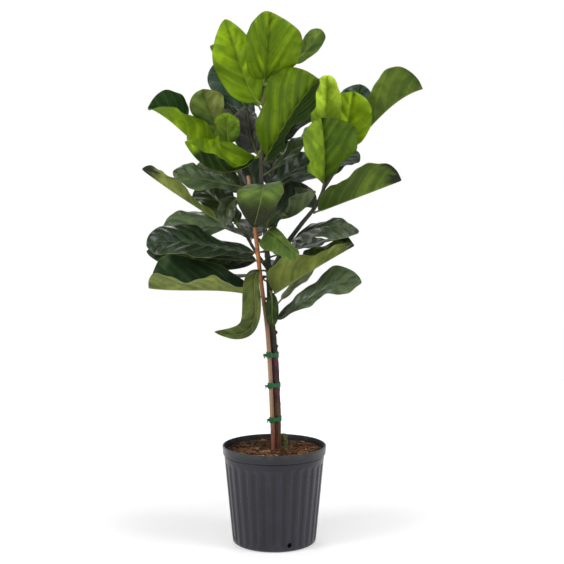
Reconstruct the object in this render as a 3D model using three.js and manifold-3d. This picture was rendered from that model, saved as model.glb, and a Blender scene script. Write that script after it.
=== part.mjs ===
// A fiddle leaf fig in a ribbed nursery pot, with a cane tied to its trunk.
// Millimetres, +Z up. The origin is the centre of the pot's underside.
import * as THREE from "three";
import { mergeVertices } from "three/addons/utils/BufferGeometryUtils.js";
import Module from "manifold-3d";

const wasm = await Module();
wasm.setup();

// Driving dimensions
const CLEARANCE = 0.35; // gap between pieces that touch
const POT_HEIGHT = 241;
const RIM_RADIUS = 127;
const BASE_RADIUS = 97;
const FLOOR = 4;
const LIP_HEIGHT = 21;
const COLLAR_BOTTOM = 205;
const RIBS = 30;
const RIB_DEPTH = 1.8;
const DRAIN_HOLES = 4;
const DRAIN_TURN = 21; // degrees from the +X axis to the first hole
const DRAIN_RADIUS = 6;
const DRAIN_HEIGHT = 17;
const NECK_INSIDE = 120; // inside radius under the lip
const FLOOR_INSIDE = 98.5;
const SOIL_TOP = 232;
const SOIL_GAP = 1; // from the pot's wall, at its corners
const MULCH_RELIEF = 3;
const TRUNK_X = 7;
const TRUNK_FOOT = 120;
const CANE_X = -1;
const CANE_Y = -16;
const CANE_FOOT = 135;
const CANE_RADIUS = 5.4;
const TIE_HEIGHT = 14;
const TIE_THICKNESS = 1.6;
const BLADE_THICKNESS = 0.9;
const PETIOLE_RADIUS = 2.7;
const MIDRIB_DEPTH = 2.1; // how far the midrib stands out below the blade's base
const MIDRIB_END = 0.3; // and below its tip

const COLOURS = {
  pot: 0x3e3c44,
  soil: 0x5a4030,
  trunk: 0x4a3f33,
  cane: 0xb07c48,
  tie: 0x2c5a38,
  young: 0x7f9a22,
  mature: 0x3f5c1e,
  deep: 0x24361c,
};

const vec = (x, y, z) => new THREE.Vector3(x, y, z);
const at = ([x, y, z]) => vec(x, y, z);
const radians = THREE.MathUtils.degToRad;

// A small repeatable generator, so that every build is the same.
function seeded(seed) {
  let state = seed;
  return () => {
    state = (state * 16807) % 2147483647;
    return state / 2147483647;
  };
}

function finish(name, geometry, colour, roughness) {
  geometry.computeVertexNormals();
  const material = new THREE.MeshStandardMaterial({ color: colour, roughness, metalness: 0 });
  const mesh = new THREE.Mesh(geometry, material);
  mesh.name = name;
  return mesh;
}

function fromTriangles(points, triangles) {
  const geometry = new THREE.BufferGeometry().setFromPoints(points);
  geometry.setIndex(triangles);
  return geometry;
}

function toSolid(geometry) {
  const bare = geometry.clone();
  bare.deleteAttribute("normal");
  bare.deleteAttribute("uv");
  const merged = mergeVertices(bare, 1e-4);
  return new wasm.Manifold(
    new wasm.Mesh({
      numProp: 3,
      vertProperties: merged.attributes.position.array,
      triVerts: new Uint32Array(merged.index.array),
    }),
  );
}

function toGeometry(solid) {
  const mesh = solid.getMesh();
  const geometry = new THREE.BufferGeometry();
  geometry.setAttribute("position", new THREE.BufferAttribute(mesh.vertProperties, mesh.numProp));
  geometry.setIndex(new THREE.BufferAttribute(mesh.triVerts, 1));
  return geometry;
}

// Rings of equal count joined into one closed body. Each ring runs anticlockwise seen from its end.
function loft(rings) {
  const count = rings[0].length;
  const triangles = [];
  for (let k = 0; k + 1 < rings.length; k++)
    for (let j = 0; j < count; j++) {
      const a = k * count + j;
      const b = k * count + ((j + 1) % count);
      triangles.push(a, b, b + count, a, b + count, a + count);
    }
  const last = (rings.length - 1) * count;
  for (let j = 1; j + 1 < count; j++) {
    triangles.push(0, j + 1, j);
    triangles.push(last, last + j, last + j + 1);
  }
  return fromTriangles(rings.flat(), triangles);
}

function circleRing(centre, along, radius, sides) {
  const side = vec(0, 1, 0).cross(along).normalize();
  const front = along.clone().cross(side);
  return Array.from({ length: sides }, (_, j) => {
    const turn = (2 * Math.PI * j) / sides;
    return centre
      .clone()
      .addScaledVector(side, radius * Math.cos(turn))
      .addScaledVector(front, radius * Math.sin(turn));
  });
}

// Stems: a smooth centre line, thick at the foot and thin at the end.
class Stem {
  constructor(points, footRadius, endRadius, sides, steps) {
    this.curve = new THREE.CatmullRomCurve3(points.map(at));
    this.footRadius = footRadius;
    this.endRadius = endRadius;
    this.sides = sides;
    this.steps = steps;
  }

  radiusAt(t) {
    return THREE.MathUtils.lerp(this.footRadius, this.endRadius, t);
  }

  // The place on the centre line at a given height.
  atHeight(z) {
    let low = 0;
    let high = 1;
    for (let i = 0; i < 40; i++) {
      const mid = (low + high) / 2;
      if (this.curve.getPoint(mid).z < z) low = mid;
      else high = mid;
    }
    return low;
  }

  solid() {
    const rings = [];
    for (let k = 0; k <= this.steps; k++) {
      const t = k / this.steps;
      const along = this.curve.getTangent(t);
      rings.push(circleRing(this.curve.getPoint(t), along, this.radiusAt(t), this.sides));
    }
    return toSolid(loft(rings));
  }
}

const STEMS = {
  trunk: new Stem(
    [
      [TRUNK_X, 0, TRUNK_FOOT],
      [TRUNK_X, 0, 230],
      [6, 0, 330],
      [4, 0, 400],
      [1, 0, 460],
      [-4, 0, 524],
      [-10, 0, 597],
      [-13, 0, 670],
      [-20, 0, 743],
      [-28, 0, 839],
      [-31, 0, 923],
      [-28, 0, 983],
      [-25, 0, 1050],
      [-26, 0, 1120],
    ],
    10.5,
    3.6,
    12,
    22,
  ),
  right: new Stem(
    [
      [-12, 0, 652],
      [24, -4, 724],
      [62, -8, 777],
      [104, -12, 832],
      [126, -14, 892],
      [134, -14, 962],
    ],
    6.5,
    3.6,
    10,
    10,
  ),
  farRight: new Stem(
    [
      [118, -12, 866],
      [150, 4, 914],
      [180, 15, 958],
      [206, 20, 994],
    ],
    4.4,
    3.2,
    8,
    5,
  ),
  lowLeft: new Stem(
    [
      [-19, 0, 728],
      [-58, 4, 757],
      [-102, 6, 772],
      [-130, 6, 788],
    ],
    5,
    3.4,
    8,
    5,
  ),
  highLeft: new Stem(
    [
      [-26, 0, 806],
      [-58, 4, 863],
      [-87, 6, 923],
      [-112, 6, 988],
    ],
    5,
    3.4,
    8,
    6,
  ),
  back: new Stem(
    [
      [-22, 0, 765],
      [-18, 42, 825],
      [-4, 80, 900],
      [8, 104, 985],
    ],
    5,
    3.4,
    8,
    7,
  ),
  backLow: new Stem(
    [
      [-14, 0, 672],
      [-42, 42, 706],
      [-76, 84, 760],
    ],
    5,
    3.4,
    8,
    5,
  ),
};

// Fused to the trunk: a sawn-off second stem at the foot, and two leaf scars.
const STUB = { x: 25, y: 4, radius: 9, foot: 190, top: 268 };
const SCARS = [
  { z: 484, reach: 4 },
  { z: 518, reach: 5 },
];

function plainCylinder(x, y, foot, top, radius, sides) {
  const geometry = new THREE.CylinderGeometry(radius, radius, top - foot, sides);
  geometry.rotateX(Math.PI / 2);
  geometry.translate(x, y, (foot + top) / 2);
  return geometry;
}

function makeTrunk() {
  let body = STEMS.trunk.solid();
  for (const [name, stem] of Object.entries(STEMS)) if (name !== "trunk") body = body.add(stem.solid());
  body = body.add(toSolid(plainCylinder(STUB.x, STUB.y, STUB.foot, STUB.top, STUB.radius, 10)));
  for (const scar of SCARS) {
    const t = STEMS.trunk.atHeight(scar.z);
    const knob = new THREE.SphereGeometry(scar.reach, 6, 4);
    const centre = STEMS.trunk.curve.getPoint(t);
    knob.translate(centre.x + STEMS.trunk.radiusAt(t) - 1, centre.y, centre.z);
    body = body.add(toSolid(knob));
  }
  return finish("trunk", toGeometry(body), COLOURS.trunk, 0.85);
}

// Cane: straight from the soil to the upper tie, then leaning left through the leaves.
const CANE = new Stem(
  [
    [CANE_X, CANE_Y, CANE_FOOT],
    [CANE_X - 1, CANE_Y, 235],
    [-7, -13, 351],
    [-12, -10, 462],
    [-18, -11, 540],
    [-31, -16, 640],
    [-41, -20, 730],
    [-50, -24, 815],
    [-61, -28, 898],
  ],
  CANE_RADIUS,
  CANE_RADIUS,
  8,
  16,
);

// Ties: one band round trunk and cane together, its outline a belt round two circles.
const TIE_HEIGHTS = [306, 389, 464];
const TRUNK_ARC_STEPS = 7;
const CANE_ARC_STEPS = 3;

// An arc of straight steps that stays outside its circle.
function outsideArc(centre, radius, from, to, steps, z) {
  const step = (to - from) / steps;
  const reach = radius / Math.cos(step / 2);
  return Array.from({ length: steps }, (_, i) => {
    const turn = from + step * (i + 0.5);
    return vec(centre.x + reach * Math.cos(turn), centre.y + reach * Math.sin(turn), z);
  });
}

function beltRing(z, grow) {
  const tTrunk = STEMS.trunk.atHeight(z);
  const trunk = STEMS.trunk.curve.getPoint(tTrunk);
  const cane = CANE.curve.getPoint(CANE.atHeight(z));
  const big = STEMS.trunk.radiusAt(tTrunk) + CLEARANCE + grow;
  const small = CANE_RADIUS + 2 * CLEARANCE + grow;
  const gap = Math.hypot(cane.x - trunk.x, cane.y - trunk.y);
  const heading = Math.atan2(cane.y - trunk.y, cane.x - trunk.x);
  const lean = Math.acos((big - small) / gap);
  const round = 2 * Math.PI;
  return [
    ...outsideArc(trunk, big, heading + lean, heading + round - lean, TRUNK_ARC_STEPS, z),
    ...outsideArc(cane, small, heading - lean, heading + lean, CANE_ARC_STEPS, z),
  ];
}

function makeTie(index) {
  const middle = TIE_HEIGHTS[index];
  const low = middle - TIE_HEIGHT / 2;
  const high = middle + TIE_HEIGHT / 2;
  const outer = loft([beltRing(low, TIE_THICKNESS), beltRing(high, TIE_THICKNESS)]);
  const inner = loft([beltRing(low, 0), beltRing(high, 0)]);
  inner.translate(0, 0, -middle);
  inner.scale(1, 1, 1.5);
  inner.translate(0, 0, middle);
  const band = toSolid(outer).subtract(toSolid(inner));
  return finish("tie_" + (index + 1), toGeometry(band), COLOURS.tie, 0.6);
}

// Pot: outside from the underside up over the lip, then down the inside wall to the floor.
// Each row is a radius, a height, and the share of the ribs' depth there.
const POT_OUTSIDE = [
  [BASE_RADIUS, 0, 0],
  [BASE_RADIUS + 5, 4, 0],
  [BASE_RADIUS + 6.5, 14, 1],
  [120.9, COLLAR_BOTTOM - 6, 1],
  [121.6, COLLAR_BOTTOM, 0],
  [122.4, POT_HEIGHT - LIP_HEIGHT - 1, 0],
  [125.6, POT_HEIGHT - LIP_HEIGHT, 0],
  [RIM_RADIUS, POT_HEIGHT - 2.5, 0],
  [RIM_RADIUS - 0.8, POT_HEIGHT, 0],
];
const POT_INSIDE = [
  [RIM_RADIUS - 4.4, POT_HEIGHT, 0],
  [NECK_INSIDE, POT_HEIGHT - LIP_HEIGHT, 0],
  [FLOOR_INSIDE, FLOOR, 0],
];
const POT_SIDES = 2 * RIBS;

function turnedRing(radius, z, rib, sides) {
  return Array.from({ length: sides }, (_, j) => {
    const turn = (2 * Math.PI * j) / sides;
    const r = radius - (j % 2) * rib * RIB_DEPTH;
    return vec(r * Math.cos(turn), r * Math.sin(turn), z);
  });
}

function drainHole(index) {
  const turn = radians(DRAIN_TURN + (360 * index) / DRAIN_HOLES);
  const hole = new THREE.CylinderGeometry(DRAIN_RADIUS, DRAIN_RADIUS, 30, 8);
  hole.rotateZ(-Math.PI / 2);
  hole.translate(BASE_RADIUS + 4, 0, DRAIN_HEIGHT);
  hole.rotateZ(turn);
  return toSolid(hole);
}

function makePot() {
  const rows = [...POT_OUTSIDE, ...POT_INSIDE];
  const rings = rows.map(([radius, z, rib]) => turnedRing(radius, z, rib, POT_SIDES));
  let body = toSolid(loft(rings));
  for (let i = 0; i < DRAIN_HOLES; i++) body = body.subtract(drainHole(i));
  return finish("pot", toGeometry(body), COLOURS.pot, 0.55);
}

// Soil: fills the pot to just under the lip, covered with bark chips as low relief.
const SOIL_SIDES = 30;
const SOIL_RINGS = [0.96, 0.8, 0.62, 0.44, 0.26];

function makeSoil() {
  const random = seeded(41);
  const edge = NECK_INSIDE - SOIL_GAP;
  const rings = [
    turnedRing(FLOOR_INSIDE - SOIL_GAP, FLOOR + CLEARANCE, 0, SOIL_SIDES),
    turnedRing(edge, POT_HEIGHT - LIP_HEIGHT, 0, SOIL_SIDES),
    turnedRing(edge, SOIL_TOP - MULCH_RELIEF - 1, 0, SOIL_SIDES),
  ];
  for (const share of SOIL_RINGS) {
    const ring = turnedRing(edge * share, SOIL_TOP, 0, SOIL_SIDES);
    for (const point of ring) point.z += MULCH_RELIEF * (2 * random() - 1);
    rings.push(ring);
  }
  let body = toSolid(loft(rings));
  const above = SOIL_TOP + 30;
  const holes = [
    plainCylinder(TRUNK_X, 0, TRUNK_FOOT - 1, above, STEMS.trunk.footRadius + 0.5, 16),
    plainCylinder(STUB.x, STUB.y, STUB.foot - 1, above, STUB.radius + 0.5, 16),
    plainCylinder(CANE_X - 0.5, CANE_Y, CANE_FOOT - 1, above, CANE_RADIUS + 0.9, 12),
  ];
  for (const hole of holes) body = body.subtract(toSolid(hole));
  return finish("soil", toGeometry(body), COLOURS.soil, 0.95);
}

// Leaf outlines: half width along the blade, as a share of the widest half width.
// A fiddle has a narrow lobed base and a waist. The others are wide over more of their length: a
// tapered one narrows evenly to its base, a blunt one has a broad round end, and a squared one is
// widest near its base and ends in a narrow square tip.
const OUTLINES = {
  fiddle: [
    [0, 0.06],
    [0.04, 0.27],
    [0.12, 0.44],
    [0.24, 0.46],
    [0.38, 0.62],
    [0.54, 0.88],
    [0.7, 1],
    [0.83, 0.92],
    [0.92, 0.68],
    [0.975, 0.36],
    [1, 0.07],
  ],
  oblong: [
    [0, 0.08],
    [0.05, 0.42],
    [0.14, 0.7],
    [0.3, 0.9],
    [0.5, 1],
    [0.68, 0.98],
    [0.8, 0.85],
    [0.9, 0.6],
    [0.97, 0.3],
    [1, 0.06],
  ],
  broad: [
    [0, 0.08],
    [0.05, 0.38],
    [0.14, 0.6],
    [0.3, 0.76],
    [0.5, 0.9],
    [0.7, 1],
    [0.82, 0.97],
    [0.91, 0.78],
    [0.97, 0.42],
    [1, 0.07],
  ],
  tapered: [
    [0, 0.05],
    [0.08, 0.2],
    [0.22, 0.46],
    [0.42, 0.8],
    [0.62, 1],
    [0.78, 0.96],
    [0.9, 0.68],
    [0.97, 0.34],
    [1, 0.06],
  ],
  blunt: [
    [0, 0.07],
    [0.08, 0.28],
    [0.22, 0.52],
    [0.36, 0.74],
    [0.52, 0.93],
    [0.7, 1],
    [0.86, 1],
    [0.95, 0.84],
    [0.985, 0.5],
    [1, 0.1],
  ],
  squared: [
    [0, 0.08],
    [0.06, 0.5],
    [0.16, 0.86],
    [0.3, 1],
    [0.45, 0.96],
    [0.6, 0.8],
    [0.75, 0.64],
    [0.88, 0.54],
    [0.97, 0.46],
    [1, 0.2],
  ],
  pointed: [
    [0, 0.08],
    [0.05, 0.42],
    [0.14, 0.7],
    [0.3, 0.92],
    [0.5, 1],
    [0.68, 0.9],
    [0.8, 0.7],
    [0.9, 0.44],
    [0.97, 0.2],
    [1, 0.05],
  ],
};

function outlineAt(outline, b) {
  let i = 0;
  while (i < outline.length - 2 && b > outline[i + 1][0]) i++;
  const slope = (j) => {
    const before = outline[Math.max(j - 1, 0)];
    const after = outline[Math.min(j + 1, outline.length - 1)];
    return (after[1] - before[1]) / (after[0] - before[0]);
  };
  const [b0, w0] = outline[i];
  const [b1, w1] = outline[i + 1];
  const span = b1 - b0;
  const t = (b - b0) / span;
  const smooth = t * t * (3 - 2 * t);
  const rise = slope(i) * span * t * (1 - t) * (1 - t);
  const fall = slope(i + 1) * span * t * t * (1 - t);
  return w0 + (w1 - w0) * smooth + rise - fall;
}

// The midrib of a leaf: one cubic curve from the stem through two points to the tip.
const MIDRIB_SAMPLES = 48;

function midrib(leaf) {
  const stem = STEMS[leaf.stem];
  const t = stem.atHeight(leaf.at);
  const centre = stem.curve.getPoint(t);
  const along = stem.curve.getTangent(t);
  const through = leaf.through.map(at);
  const out = through[0].clone().sub(centre);
  out.addScaledVector(along, -out.dot(along)).normalize();
  const root = centre.clone().addScaledVector(out, stem.radiusAt(t) + CLEARANCE);
  const [b, c] = through;
  const tip = at(leaf.tip);
  const mix = (wa, wb, wc, wd) =>
    vec(0, 0, 0)
      .addScaledVector(root, wa / 6)
      .addScaledVector(b, wb / 6)
      .addScaledVector(c, wc / 6)
      .addScaledVector(tip, wd / 6);
  const handleA = mix(-5, 18, -9, 2);
  const handleB = mix(2, -9, 18, -5);
  const curve = new THREE.CubicBezierCurve3(root, handleA, handleB, tip);
  const points = [];
  const lengths = [0];
  for (let i = 0; i <= MIDRIB_SAMPLES; i++) {
    points.push(curve.getPoint(i / MIDRIB_SAMPLES));
    if (i) lengths.push(lengths[i - 1] + points[i].distanceTo(points[i - 1]));
  }
  const total = lengths[MIDRIB_SAMPLES];
  const pointAt = (s) => {
    const want = s * total;
    let i = 1;
    while (i < MIDRIB_SAMPLES && lengths[i] < want) i++;
    const share = (want - lengths[i - 1]) / (lengths[i] - lengths[i - 1]);
    return points[i - 1].clone().lerp(points[i], share);
  };
  return { pointAt, total, out };
}

// Frames along the midrib, turned as little as possible away from the leaf's facing.
function midribFrames(rib, face) {
  const directions = [];
  for (let i = 0; i <= MIDRIB_SAMPLES; i++) {
    const before = rib.pointAt(Math.max(i - 1, 0) / MIDRIB_SAMPLES);
    const after = rib.pointAt(Math.min(i + 1, MIDRIB_SAMPLES) / MIDRIB_SAMPLES);
    directions.push(after.sub(before).normalize());
  }
  const level = (n, direction) => n.clone().addScaledVector(direction, -n.dot(direction)).normalize();
  const middle = Math.round(MIDRIB_SAMPLES * 0.6);
  const ups = [];
  ups[middle] = level(at(face), directions[middle]);
  for (let i = middle + 1; i <= MIDRIB_SAMPLES; i++) ups[i] = level(ups[i - 1], directions[i]);
  for (let i = middle - 1; i >= 0; i--) ups[i] = level(ups[i + 1], directions[i]);
  return (s) => {
    const x = s * MIDRIB_SAMPLES;
    const i = Math.min(Math.floor(x), MIDRIB_SAMPLES - 1);
    const direction = directions[i].clone().lerp(directions[i + 1], x - i).normalize();
    const up = level(ups[i].clone().lerp(ups[i + 1], x - i), direction);
    return { direction, up };
  };
}

// Across the blade each half leaves the midrib at its fold angle and bends on by its curl.
// A soft wave grows towards the margin. Side -1 is left and +1 is right, seen from the base.
function halfBlade(reach, fold, curl) {
  const bend = Math.abs(curl) < 1e-3 ? 1e-3 : curl;
  const end = fold + bend * reach;
  return {
    level: (Math.sin(end) - Math.sin(fold)) / bend,
    lift: (Math.cos(fold) - Math.cos(end)) / bend,
    slope: end,
  };
}

const WAVES = 2.2; // along each margin
const ACROSS = [-1, -0.52, 0, 0.52, 1];
const STATIONS = [0.05, 0.14, 0.26, 0.38, 0.5, 0.62, 0.74, 0.86, 0.95, 1];

function bladePoint(leaf, frame, b, v) {
  const side = frame.direction.clone().cross(frame.up);
  const half = (leaf.width / 2) * leaf.share[v < 0 ? 0 : 1] * outlineAt(OUTLINES[leaf.outline], b);
  const sign = v < 0 ? -1 : 1;
  const fold = radians(leaf.fold[v < 0 ? 0 : 1]);
  const curve = halfBlade(Math.abs(v), fold, radians(leaf.curl));
  const swell = Math.min(1, b / 0.3);
  const phase = leaf.phase + (v < 0 ? 0 : 2.1);
  const wave = leaf.wave * swell * v * v * Math.sin(2 * Math.PI * WAVES * b + phase);
  const level = half * (curve.level - wave * Math.sin(curve.slope));
  const lift = half * (curve.lift + wave * Math.cos(curve.slope));
  return frame.origin.clone().addScaledVector(side, sign * level).addScaledVector(frame.up, lift);
}

function makeLeaf(leaf, index) {
  const rib = midrib(leaf);
  const frameAt = midribFrames(rib, leaf.face);
  const blade0 = leaf.petiole / rib.total;
  const stations = STATIONS.map((b) => {
    const s = blade0 + (1 - blade0) * b;
    const { direction, up } = frameAt(s);
    up.applyAxisAngle(direction, radians(leaf.twist * (b - 0.5)));
    return { b, direction, up, origin: rib.pointAt(s) };
  });
  const surface = stations.map((frame) => ACROSS.map((v) => bladePoint(leaf, frame, frame.b, v)));
  const normalAt = (k, i) => {
    const alongA = surface[Math.max(k - 1, 0)][i];
    const alongB = surface[Math.min(k + 1, surface.length - 1)][i];
    const acrossA = surface[k][Math.max(i - 1, 0)];
    const acrossB = surface[k][Math.min(i + 1, ACROSS.length - 1)];
    return acrossB.clone().sub(acrossA).cross(alongB.clone().sub(alongA)).normalize();
  };
  const rings = [rootRing(rib, frameAt(0), PETIOLE_RADIUS * 1.15)];
  const neck = frameAt(blade0);
  neck.up.applyAxisAngle(neck.direction, radians(-leaf.twist / 2));
  rings.push(petioleRing(rib.pointAt(blade0), neck.direction, neck.up, PETIOLE_RADIUS * 0.85));
  stations.forEach((frame, k) => {
    const top = [];
    const bottom = [];
    surface[k].forEach((point, i) => {
      const normal = normalAt(k, i);
      const keel = i === 2 ? THREE.MathUtils.lerp(MIDRIB_DEPTH, MIDRIB_END, frame.b) : 0;
      top.push(point.clone().addScaledVector(normal, BLADE_THICKNESS / 2));
      bottom.unshift(point.clone().addScaledVector(normal, -BLADE_THICKNESS / 2 - keel));
    });
    rings.push([...top, ...bottom]);
  });
  return finish(
    "leaf_" + String(index + 1).padStart(2, "0"),
    leafLoft(rings),
    COLOURS[leaf.tone],
    leaf.tone === "young" ? 0.5 : 0.4,
  );
}

// Ten points round the petiole, in the order of the blade's ring: over the top, back below.
function petioleRing(centre, direction, up, radius) {
  const side = direction.clone().cross(up).normalize();
  return Array.from({ length: 10 }, (_, j) => {
    const turn = radians(162 - 36 * j);
    return centre
      .clone()
      .addScaledVector(side, radius * Math.cos(turn))
      .addScaledVector(up, radius * Math.sin(turn));
  });
}

// The petiole's foot lies flat along the stem that carries it.
function rootRing(rib, frame, radius) {
  const up = frame.up.clone().addScaledVector(rib.out, -frame.up.dot(rib.out)).normalize();
  return petioleRing(rib.pointAt(0), rib.out, up, radius);
}

// Like loft, but both faces of the blade are split into triangles alike.
function leafLoft(rings) {
  const count = 10;
  const triangles = [];
  for (let k = 0; k + 1 < rings.length; k++)
    for (let j = 0; j < count; j++) {
      const a = k * count + j;
      const b = k * count + ((j + 1) % count);
      const c = b + count;
      const d = a + count;
      if (j < 5) triangles.push(a, b, c, a, c, d);
      else triangles.push(a, b, d, b, c, d);
    }
  const last = (rings.length - 1) * count;
  for (let i = 0; i < 4; i++) {
    const far = count - 1 - i;
    triangles.push(i, far, far - 1, i, far - 1, i + 1);
    triangles.push(last + i, last + i + 1, last + far - 1, last + i, last + far - 1, last + far);
  }
  return fromTriangles(rings.flat(), triangles);
}

// Leaves. stem and at: what carries the leaf, and at which height. through and tip: the midrib's
// course. face: where the upper side looks. fold: degrees that the left and the right half rise
// towards the upper side. share: of the half width that the left and the right half reach.
// curl: degrees that they bend on. wave: margin, as a share of the half width. twist: degrees from
// base to tip. petiole: bare stalk.
const LEAF_DEFAULTS = {
  width: 130,
  share: [1, 1],
  fold: [15, 15],
  curl: -10,
  wave: 0.12,
  twist: 0,
  petiole: 28,
  outline: "fiddle",
  tone: "mature",
};

const LEAVES = [
  // Top of the trunk
  { stem: "trunk", at: 1068, through: [[-61, -8, 1112], [-89, -16, 1188]], tip: [-116, -18, 1266],
    face: [-0.15, -1, 0.3], width: 122, share: [1, 0.75], fold: [5, 14], petiole: 14,
    outline: "pointed", tone: "young" },
  { stem: "trunk", at: 1110, through: [[-20, -54, 1162], [-15, -82, 1224]], tip: [-7, -86, 1275],
    face: [0.05, -1, 0.15], width: 166, share: [0.7, 1], fold: [40, 1], wave: 0.05,
    outline: "oblong", tone: "young" },
  { stem: "trunk", at: 1110, through: [[14, 30, 1146], [68, 42, 1190]], tip: [112, 40, 1250],
    face: [-0.25, 0.93, 0.25], width: 50, fold: [10, 10], outline: "broad", petiole: 100 },
  { stem: "trunk", at: 925, through: [[15, -58, 998], [57, -85, 1063]], tip: [105, -95, 1120],
    face: [-0.25, -1, 0.25], width: 190, fold: [2, 58], outline: "broad", tone: "young" },
  // Right branches
  { stem: "right", at: 952, through: [[126, -30, 1010], [125, -40, 1075]], tip: [127, -34, 1134],
    face: [-0.2, -1, 0.1], width: 84, fold: [35, 35], outline: "oblong", tone: "young" },
  { stem: "farRight", at: 938, through: [[170, -6, 985], [180, -14, 1042]], tip: [188, -20, 1097],
    face: [-0.15, -1, 0.2], width: 112, fold: [14, 12], outline: "oblong", tone: "young" },
  { stem: "farRight", at: 965, through: [[180, 52, 1005], [196, 82, 1065]], tip: [212, 98, 1122],
    face: [-0.2, -0.8, 0.55], width: 84, tone: "deep" },
  { stem: "right", at: 868, through: [[119, -55, 925], [116, -88, 980]], tip: [110, -98, 1032],
    face: [0.1, -1, 0.25], width: 168, fold: [52, 2], outline: "tapered", tone: "young",
    petiole: 14 },
  { stem: "farRight", at: 980, through: [[250, 10, 1036], [301, -2, 1079]], tip: [354, -12, 1104],
    face: [-0.68, 0, 0.73], width: 160, fold: [44, 76], petiole: 18 },
  // Upper left
  { stem: "highLeft", at: 905, through: [[-165, -18, 956], [-231, -32, 1016]], tip: [-298, -38, 1058],
    face: [0.55, 0.05, 0.8], width: 142, share: [0.9, 1.15], fold: [62, 20], twist: -140,
    outline: "broad", tone: "young", petiole: 58 },
  { stem: "highLeft", at: 965, through: [[-132, 26, 1010], [-157, 34, 1060]], tip: [-172, 32, 1106],
    face: [-0.25, -1, 0.15], width: 88 },
  { stem: "trunk", at: 1030, through: [[-66, 30, 1060], [-105, 44, 1115]], tip: [-140, 50, 1172],
    face: [-0.45, -0.75, 0.5], width: 92, fold: [20, 20], tone: "deep" },
  { stem: "trunk", at: 1000, through: [[-60, 50, 1020], [-98, 84, 1055]], tip: [-133, 100, 1095],
    face: [-0.3, -0.5, 0.8], width: 90, tone: "deep" },
  { stem: "highLeft", at: 966, through: [[-109, -13, 985], [-112, -14, 1014]], tip: [-110, -12, 1047],
    face: [-0.2, -1, 0.15], width: 64, fold: [10, 10], petiole: 14, outline: "oblong" },
  { stem: "trunk", at: 958, through: [[-72, -56, 918], [-138, -96, 912]], tip: [-205, -114, 977],
    face: [0, -0.3, 0.95], width: 196, share: [0.6, 1], fold: [40, 48], outline: "oblong",
    tone: "young" },
  // Left
  { stem: "lowLeft", at: 781, through: [[-182, -20, 822], [-245, -30, 864]], tip: [-314, -30, 914],
    face: [0.5, -0.1, 0.85], width: 92, fold: [50, 22] },
  { stem: "highLeft", at: 868, through: [[-118, -26, 880], [-180, -48, 892]], tip: [-238, -58, 908],
    face: [0.25, -0.6, 0.75], width: 84, fold: [5, 10], tone: "deep" },
  { stem: "highLeft", at: 850, through: [[-90, 42, 870], [-150, 72, 897]], tip: [-200, 92, 912],
    face: [0.2, -0.7, 0.7], width: 126, tone: "deep" },
  { stem: "lowLeft", at: 765, through: [[-110, 54, 808], [-150, 90, 843]], tip: [-185, 120, 870],
    face: [0.2, -0.8, 0.6], width: 100, tone: "deep" },
  { stem: "highLeft", at: 850, through: [[-84, -40, 846], [-106, -76, 828]], tip: [-112, -98, 782],
    face: [-0.2, -0.9, 0.4], width: 44, fold: [20, 20], petiole: 55, outline: "oblong",
    tone: "deep" },
  { stem: "lowLeft", at: 772, through: [[-154, 30, 775], [-212, 30, 770]], tip: [-270, 12, 748],
    face: [0, -0.3, 0.95], width: 114, fold: [0, 32], petiole: 14, outline: "oblong",
    tone: "deep" },
  { stem: "trunk", at: 716, through: [[-110, -40, 722], [-212, -72, 742]], tip: [-300, -78, 734],
    face: [0, -0.5, 0.87], width: 118, fold: [4, 20], tone: "deep" },
  { stem: "trunk", at: 692, through: [[-110, 36, 694], [-215, 40, 702]], tip: [-312, 30, 713],
    face: [0, -0.6, 0.8], width: 84, fold: [-5, 5], outline: "oblong", tone: "deep" },
  { stem: "trunk", at: 600, through: [[-108, -22, 622], [-202, -50, 627]], tip: [-298, -60, 633],
    face: [0, 0, 1], width: 168, fold: [29, 74], outline: "blunt" },
  // Right
  { stem: "right", at: 812, through: [[159, -30, 833], [227, -45, 859]], tip: [302, -45, 888],
    face: [-0.33, 0, 0.94], width: 148, fold: [45, 62], petiole: 14, outline: "broad" },
  { stem: "right", at: 738, through: [[88, -50, 770], [144, -78, 780]], tip: [200, -80, 768],
    face: [0, -0.5, 0.87], width: 110, share: [0.62, 1], fold: [5, 5], outline: "oblong",
    petiole: 14, tone: "deep" },
  { stem: "trunk", at: 610, through: [[59, -45, 655], [123, -57, 695]], tip: [190, -60, 734],
    face: [-0.45, 0, 0.9], width: 148, fold: [40, 50], twist: 50, outline: "squared", petiole: 10 },
  { stem: "trunk", at: 578, through: [[28, 15, 608], [66, 35, 650]], tip: [106, 50, 700],
    face: [-0.5, -0.5, 0.6], width: 60, fold: [8, 8], tone: "deep" },
  { stem: "trunk", at: 548, through: [[60, -25, 588], [132, -42, 632]], tip: [209, -48, 644],
    face: [-0.3, -0.25, 0.9], width: 98, fold: [36, 0], wave: 0.2, petiole: 8, tone: "deep" },
  // Middle, towards the front
  { stem: "trunk", at: 862, through: [[-25, -50, 876], [-28, -118, 850]], tip: [-46, -150, 780],
    face: [-0.15, -0.8, 0.6], width: 108, share: [0.95, 1.06], petiole: 44, outline: "pointed" },
  { stem: "trunk", at: 786, through: [[-20, -38, 772], [-16, -74, 784]], tip: [-10, -106, 806],
    face: [0, -0.1, 1], width: 96, fold: [24, 24], tone: "deep" },
  { stem: "trunk", at: 806, through: [[22, -38, 797], [64, -60, 816]], tip: [98, -68, 862],
    face: [-0.5, -0.35, 0.75], width: 124, fold: [34, 56], tone: "deep" },
  { stem: "trunk", at: 752, through: [[-8, -40, 764], [22, -82, 742]], tip: [58, -104, 714],
    face: [-0.3, -0.9, 0.3], width: 88, share: [0.36, 1], fold: [10, 10], outline: "squared",
    petiole: 14 },
  { stem: "trunk", at: 668, through: [[-46, -82, 636], [-49, -96, 552]], tip: [-140, -92, 531],
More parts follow.
